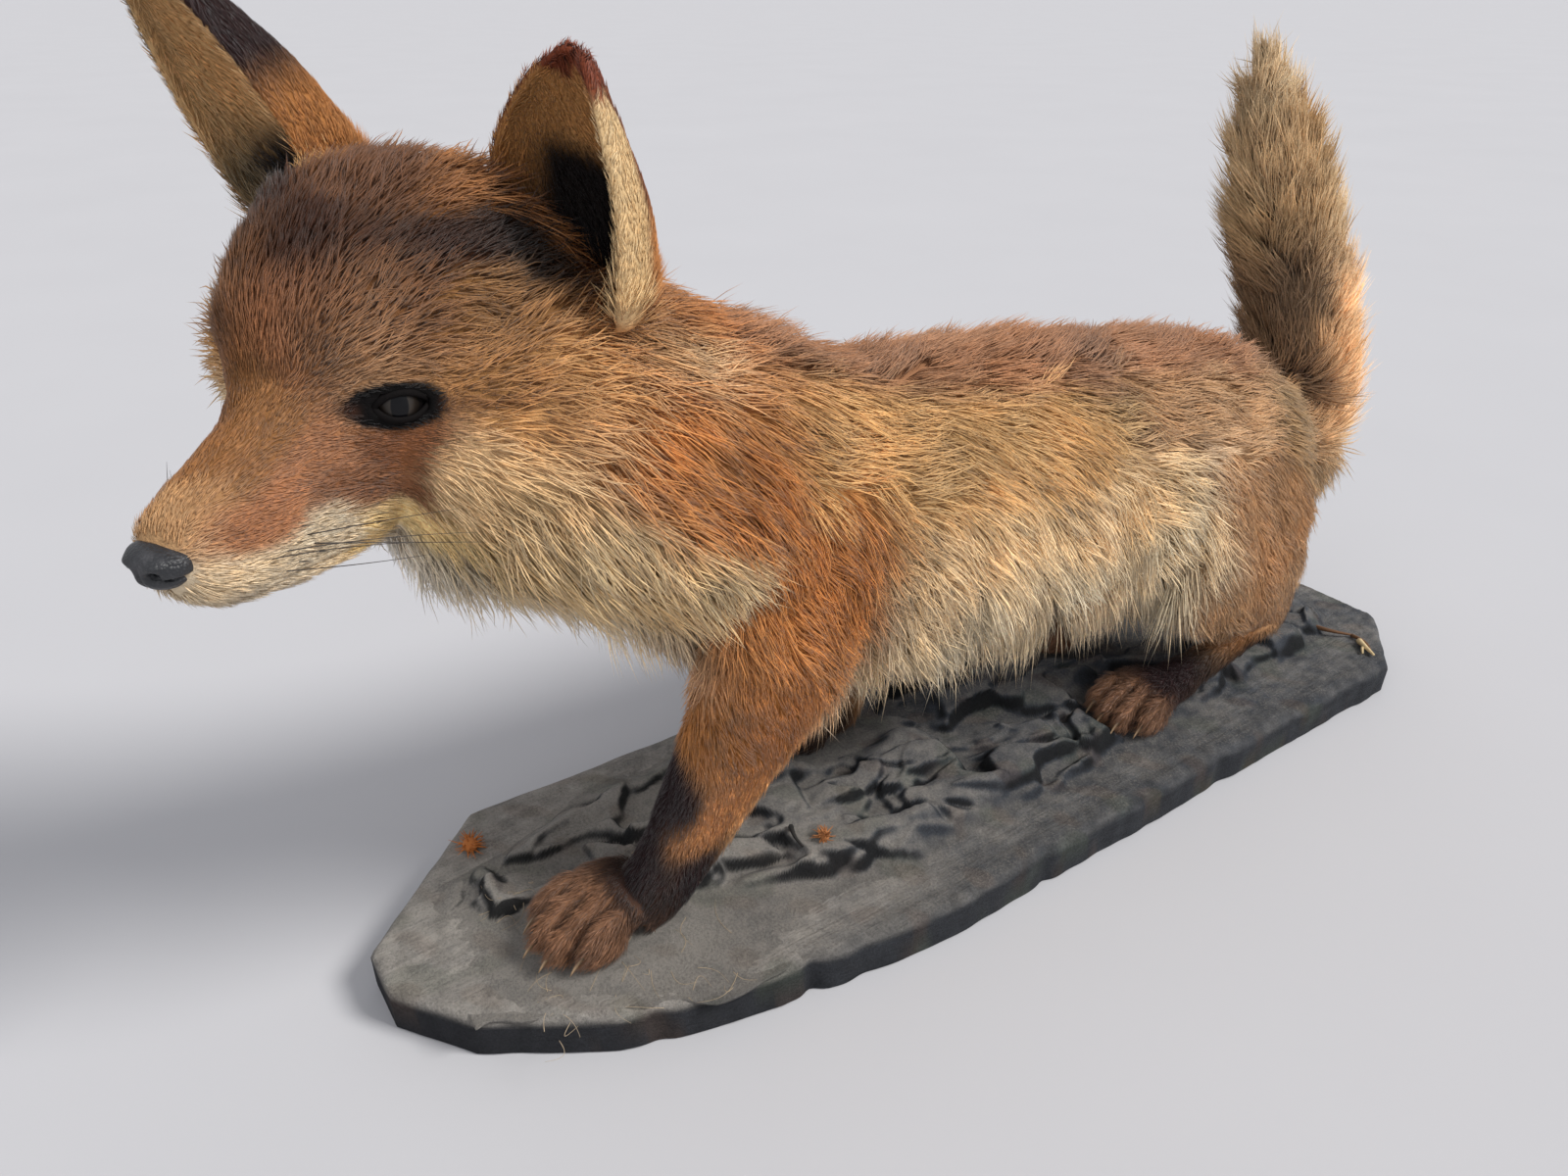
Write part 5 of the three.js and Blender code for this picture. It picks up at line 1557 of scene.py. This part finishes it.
def husk(x, y, size):
    """Seed husk: a small ball with bent spines in all directions of its upper half."""
    z = ground_height(x, y) + size * 0.35
    parts = [ball([x, y, z], [size * 0.6, size * 0.55, size * 0.5], sides=16, rings=8)]
    for _ in range(46):
        heading = unit(draw.normal(size=3) * [1, 1, 0.7] + [0, 0, 0.35])
        s = np.linspace(0, 1, 5)[:, None]
        path = np.array([x, y, z]) + heading * size * (0.35 + 0.8 * s)
        path = path + draw.normal(size=3) * s**2 * 1.2
        parts.append(bent_cone(path, 0.55 * (1 - s[:, 0]) + 0.12, 4))
    return parts


def strand(start, end, bow, radius, lift=0.0):
    """Thin bent thing lying on the base between two places, bowed sideways by sin."""
    s = np.linspace(0, 1, 14)[:, None]
    start, end = np.array(start, float), np.array(end, float)
    across = unit(np.array([end[1] - start[1], start[0] - end[0]], float))
    flat = start + (end - start) * s + across * bow * np.sin(np.pi * s)
    z = np.array([ground_height(px, py) for px, py in flat])
    z = np.convolve(np.pad(z, 2, "edge"), np.ones(5) / 5, "valid")
    z = z + radius + lift * np.sin(np.pi * s[:, 0])
    return bent_cone(np.column_stack([flat, z]), radius * (1 - 0.6 * s[:, 0]), 6)


litter = [
    (husk(-73, -282, 7.5), (176, 104, 46)),
    (husk(38, -131, 5.0), (170, 112, 66)),
    ([strand((22, -141), (36, -143), 2, 1.6, 3)], (30, 27, 24)),
    ([strand((46, 292), (70, 304), 5, 1.8, 2), strand((70, 304), (92, 292), -3, 1.4, 1)],
     (104, 72, 46)),
    ([strand((78, 300), (94, 291), 1, 2.2, 1), strand((84, 297), (88, 288), 1, 1.5, 1)],
     (206, 182, 138)),
]
loose = []
for _ in range(70):
    at = draw.uniform((-30, -300), (84, -190))
    to = at + draw.normal(size=2) * 11
    loose.append(strand(at, to, draw.normal() * 4, 0.16))
litter.append((loose, (176, 158, 132)))
litter_parts = [part for parts, _ in litter for part in parts]
litter_tone = np.vstack([np.tile(linear(tone), (sum(len(points) for points, _ in parts), 1))
                         for parts, tone in litter])
ground_litter = new_piece("ground_litter", *merged(litter_parts), litter_tone)
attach(ground_litter, "root")
print("litter:", len(litter_parts), "small parts")

# %% [markdown]
# ## Finishes
# Every finish is worked out by nodes. One small class wraps a socket, so that a pattern
# reads as a sum of parts; its node method adds any other node. Patterns come from Object
# coordinates, in metres, and from the tones already kept on the points.

# %% A socket that can be added and multiplied
class Wire:
    """A socket of a material's nodes, or a number, used in arithmetic."""

    def __init__(self, tree, socket):
        self.tree, self.socket = tree, socket

    def node(self, kind, settings=None, inputs=None, out=0):
        """Adds a node: its settings first, then values or links of its sockets."""
        made = self.tree.nodes.new(kind)
        for key, value in (settings or {}).items():
            setattr(made, key, value)
        for key, value in (inputs or {}).items():
            if isinstance(value, Wire):
                self.tree.links.new(value.socket, made.inputs[key])
            else:
                made.inputs[key].default_value = value
        return Wire(self.tree, made.outputs[out])

    def math(self, operation, *values):
        return self.node("ShaderNodeMath", {"operation": operation}, dict(enumerate(values)))

    def __add__(self, other): return self.math("ADD", self, other)
    def __sub__(self, other): return self.math("SUBTRACT", self, other)
    def __rsub__(self, other): return self.math("SUBTRACT", other, self)
    def __mul__(self, other): return self.math("MULTIPLY", self, other)
    def __pow__(self, other): return self.math("POWER", self, other)
    __radd__, __rmul__ = __add__, __mul__

    def clamp(self): return self.math("MINIMUM", self.math("MAXIMUM", self, 0.0), 1.0)

    def ramp(self, low, high):
        """0 below low, 1 above high, smooth between."""
        return self.node("ShaderNodeMapRange", {"interpolation_type": "SMOOTHSTEP"},
                         {0: self, 1: low, 2: high})

    def mix(self, first, second):
        """Colour between two colours, by this wire."""
        return self.node("ShaderNodeMix", {"data_type": "RGBA"}, {0: self, 6: first, 7: second}, out=2)

    def lit(self, light):
        """This colour times a light."""
        return self.node("ShaderNodeVectorMath", {"operation": "SCALE"}, {0: self, 3: light})


class Finish(Wire):
    """A material: its wires start at the Object coordinates, and dress() puts them on."""

    def __init__(self, name, **fixed):
        self.material = bpy.data.materials.new(name)
        self.material.use_nodes = True
        super().__init__(self.material.node_tree, None)
        self.shader = self.tree.nodes["Principled BSDF"]
        for key, value in fixed.items():
            self.shader.inputs[key.replace("_", " ")].default_value = value
        self.place = self.node("ShaderNodeTexCoord", out=3)

    def attribute(self, name, out=0):
        return self.node("ShaderNodeAttribute", {"attribute_name": name}, out=out)

    def stretched(self, scale):
        return self.node("ShaderNodeMapping", None, {0: self.place, 3: scale})

    def noise(self, scale, detail=3.0, roughness=0.55, place=None):
        return self.node("ShaderNodeTexNoise", None,
                         {0: place or self.place, "Scale": scale, "Detail": detail, "Roughness": roughness})

    def cells(self, scale):
        return self.node("ShaderNodeTexVoronoi", None, {0: self.place, "Scale": scale})

    def bump(self, height, strength, distance):
        made = self.node("ShaderNodeBump", None,
                         {"Height": height, "Strength": strength, "Distance": distance})
        self.tree.links.new(made.socket, self.shader.inputs["Normal"])

    def dress(self, pieces, **wires):
        for key, wire in wires.items():
            self.tree.links.new(wire.socket, self.shader.inputs[key.replace("_", " ")])
        for piece in pieces:
            piece.data.materials.clear()
            piece.data.materials.append(self.material)
        print("finish", self.material.name, "on", len(pieces), "pieces")


# %% [markdown]
# ## Fur and skin
# Fur takes its tone from the tufts' points, with fine streaks that run at the size of
# single hairs, and is soft and rough with a faint sheen. The skin under it has the same
# markings, darker as painted shade under the coat, with a felted bump like wool.

# %% Fur, skin and whiskers
fur = Finish("fox_fur", Roughness=0.7, Specular_IOR_Level=0.25, Sheen_Weight=0.12, Sheen_Roughness=0.4)
streak = fur.noise(900.0, 2.0).ramp(0.25, 0.75)
patch = fur.noise(70.0, 3.0).ramp(0.3, 0.7)
shade = streak * 0.34 + patch * 0.16 + 0.78
fur.dress(coat, Base_Color=fur.attribute("tone").lit(shade), Roughness=0.78 - streak * 0.16)

hide = Finish("fox_skin", Roughness=0.85, Specular_IOR_Level=0.15)
felt = hide.noise(420.0, 4.0, 0.7)
hide.bump(felt + hide.noise(1500.0, 2.0) * 0.5, 0.6, 0.0012)
hide.dress([skin], Base_Color=hide.attribute("tone").lit(felt * 0.7 + 0.62))
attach(skin, "root")
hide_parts("lower_jaw", "head", "neck", "trunk", "tail", "ear_left", "ear_right",
            "fore_paw_left", "fore_paw_right", "fore_leg_left", "fore_leg_right",
            "hind_foot_left", "hind_foot_right", "thigh_left", "thigh_right")
for piece in coat:
    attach(piece, "root")

bristle = Finish("whisker_bristle", Roughness=0.4)
bristle.dress([whiskers], Base_Color=bristle.noise(300.0).mix(
    (0.012, 0.010, 0.009, 1), (0.06, 0.045, 0.035, 1)))

# %% [markdown]
# ## Glass, nose leather and horn
# The glass eye is nearly black: a dark iris with fine spokes, a slit pupil, and a clear
# coat that carries the highlight. Nose and lid margins are pebbled dark leather, and the
# claws are horn with streaks along them.

# %% Eyes, nose, lids and claws
glass = Finish("eye_glass", Roughness=0.35, Coat_Weight=0.12, Coat_Roughness=0.06, Specular_IOR_Level=0.15)
seen = glass.attribute("gaze", out=1)
across, upright, ahead = (glass.node("ShaderNodeSeparateXYZ", None, {0: seen}, axis) for axis in range(3))
ring = (across * across + upright * upright) ** 0.5
slit = ((across * 3.6) ** 2.0 + (upright * 1.75) ** 2.0) ** 0.5
spoke = glass.noise(60.0, 4.0, 0.7, place=seen)
iris = spoke.mix((0.010, 0.008, 0.007, 1), (0.052, 0.044, 0.038, 1))
iris = ring.ramp(0.30, 0.52).mix(iris, (0.012, 0.009, 0.007, 1))
eye_tone = (1 - slit.ramp(0.86, 1.0)).mix(iris, (0.003, 0.003, 0.004, 1))
white = (ring.ramp(0.56, 0.60) + (0.2 - ahead).ramp(0.0, 0.2)).clamp()
glass.dress(eyeballs, Base_Color=white.mix(eye_tone, (0.006, 0.005, 0.005, 1)))

leather = Finish("nose_leather", Roughness=0.5, Coat_Weight=0.12, Coat_Roughness=0.3)
pebble = leather.cells(950.0)
dusty = leather.noise(160.0, 4.0).ramp(0.42, 0.7)
leather.bump(pebble * -1.0 + leather.noise(2500.0) * 0.3, 0.55, 0.0006)
leather.dress([nose], Base_Color=dusty.mix((0.014, 0.015, 0.018, 1), (0.045, 0.045, 0.050, 1)),
              Roughness=0.42 + dusty * 0.25)

margin = Finish("lid_margin", Roughness=0.8, Specular_IOR_Level=0.08)
wrinkle = margin.noise(900.0, 3.0)
margin.bump(wrinkle, 0.4, 0.0004)
margin.dress([lid_margins], Base_Color=wrinkle.mix((0.003, 0.003, 0.003, 1), (0.008, 0.006, 0.006, 1)))

horn = Finish("claw_horn", Roughness=0.4, Coat_Weight=0.2)
layers = horn.noise(700.0, 3.0)
horn.bump(layers, 0.3, 0.0004)
horn.dress([claws], Base_Color=horn.attribute("tone").lit(layers * 0.5 + 0.72))

# %% [markdown]
# ## Wood, modelled ground and litter
# Board and ground are painted the same dark slate and lie under years of dust, so they
# share a pattern: grain streaks along the wood, grit, specks and stains, and dust that
# lightens what faces up. Roughness is high, and a little lower on the stains.

# %% Board, ground and litter
def dusty_base(name, grain_share, grit_share):
    """Finish of the base: its tone times streaks, grit and specks, with bump of both."""
    made = Finish(name, Roughness=0.9, Specular_IOR_Level=0.25)
    grain = made.noise(260.0, 5.0, 0.7, place=made.stretched((1.0, 0.07, 1.0)))
    grit = made.noise(700.0, 6.0, 0.85)
    stain = made.noise(60.0, 6.0, 0.7)
    crumbs = 1 - made.cells(420.0).ramp(0.06, 0.18)
    light = grain * (0.7 * grain_share) + grit * 2.5 + stain * 0.3 - (0.36 + 0.32 * grain_share)
    tone = made.attribute("tone").lit(light)
    up = made.node("ShaderNodeSeparateXYZ", None, {0: made.node("ShaderNodeNewGeometry", out=1)}, 2)
    specks = grit.ramp(0.50, 0.62) * stain.ramp(0.35, 0.6) + crumbs * 0.8
    dust = (up.ramp(0.82, 0.99) * specks).clamp() * 0.5
    tone = dust.mix(tone, (0.250, 0.225, 0.190, 1))
    made.bump(grain * grain_share + grit * grit_share + stain * 0.5, 1.0, 0.0025)
    return made, tone, 0.95 - stain.ramp(0.5, 0.8) * 0.18


for name, piece, grain_share, grit_share in (("board_wood", board, 1.0, 0.5),
                                             ("modelled_relief", ground, 0.25, 0.7)):
    finish, tone, rough = dusty_base(name, grain_share, grit_share)
    finish.dress([piece], Base_Color=tone, Roughness=rough)

chaff = Finish("dry_litter", Roughness=0.85)
fibre = chaff.noise(600.0, 3.0)
chaff.bump(fibre, 0.5, 0.0005)
chaff.dress([ground_litter], Base_Color=chaff.attribute("tone").lit(fibre * 0.8 + 0.55))

# %% [markdown]
# ## Floor and light
# A plain pale floor under a soft, wide light from above and behind, as in a bright room,
# with a weaker one from the front left. The pale world fills the shadows.

# %% Floor, lights and world
FLOOR_HALF = 4e4
floor_points = np.array([[-1, -1, 0], [1, -1, 0], [1, 1, 0], [-1, 1, 0]]) * FLOOR_HALF
floor = new_piece("floor", floor_points, [[0, 1, 2, 3]], smooth=False)
floor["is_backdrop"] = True
pale = Finish("pale_floor", Roughness=0.9, Specular_IOR_Level=0.2)
pale.dress([floor], Base_Color=pale.noise(3.0).mix((0.49, 0.49, 0.51, 1), (0.52, 0.52, 0.54, 1)))


def soft_sun(name, toward, strength, spread, tone):
    """Sun that shines along a direction, with soft shadows of the given spread."""
    data = bpy.data.lights.new(name, "SUN")
    data.energy, data.angle, data.color = strength, np.radians(spread), tone
    lamp = bpy.data.objects.new(name, data)
    back = -unit(np.array(toward, float))
    side = unit(np.cross([0.05, 1.0, 0.1], back))
    lamp.matrix_world = Matrix(np.column_stack([side, np.cross(back, side), back]).tolist()).to_4x4()
    bpy.context.scene.collection.objects.link(lamp)


soft_sun("window", (-0.95, -0.85, -1.2), 3.1, 20, (1.0, 0.98, 0.95))
soft_sun("room", (-0.6, 1.0, -0.9), 0.5, 60, (0.97, 0.98, 1.0))
world = bpy.data.worlds.new("pale room")
world.use_nodes = True
sky = world.node_tree.nodes["Background"].inputs
sky["Color"].default_value, sky["Strength"].default_value = (0.80, 0.81, 0.85, 1), 0.66
bpy.context.scene.world = world
bpy.context.scene.view_settings.view_transform = "Standard"
print("lights ready")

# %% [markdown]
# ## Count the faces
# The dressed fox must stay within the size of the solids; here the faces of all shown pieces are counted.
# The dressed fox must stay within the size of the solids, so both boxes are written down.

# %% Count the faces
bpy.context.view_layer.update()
total = sum(len(piece.data.polygons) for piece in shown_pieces())
print("faces in all:", total)
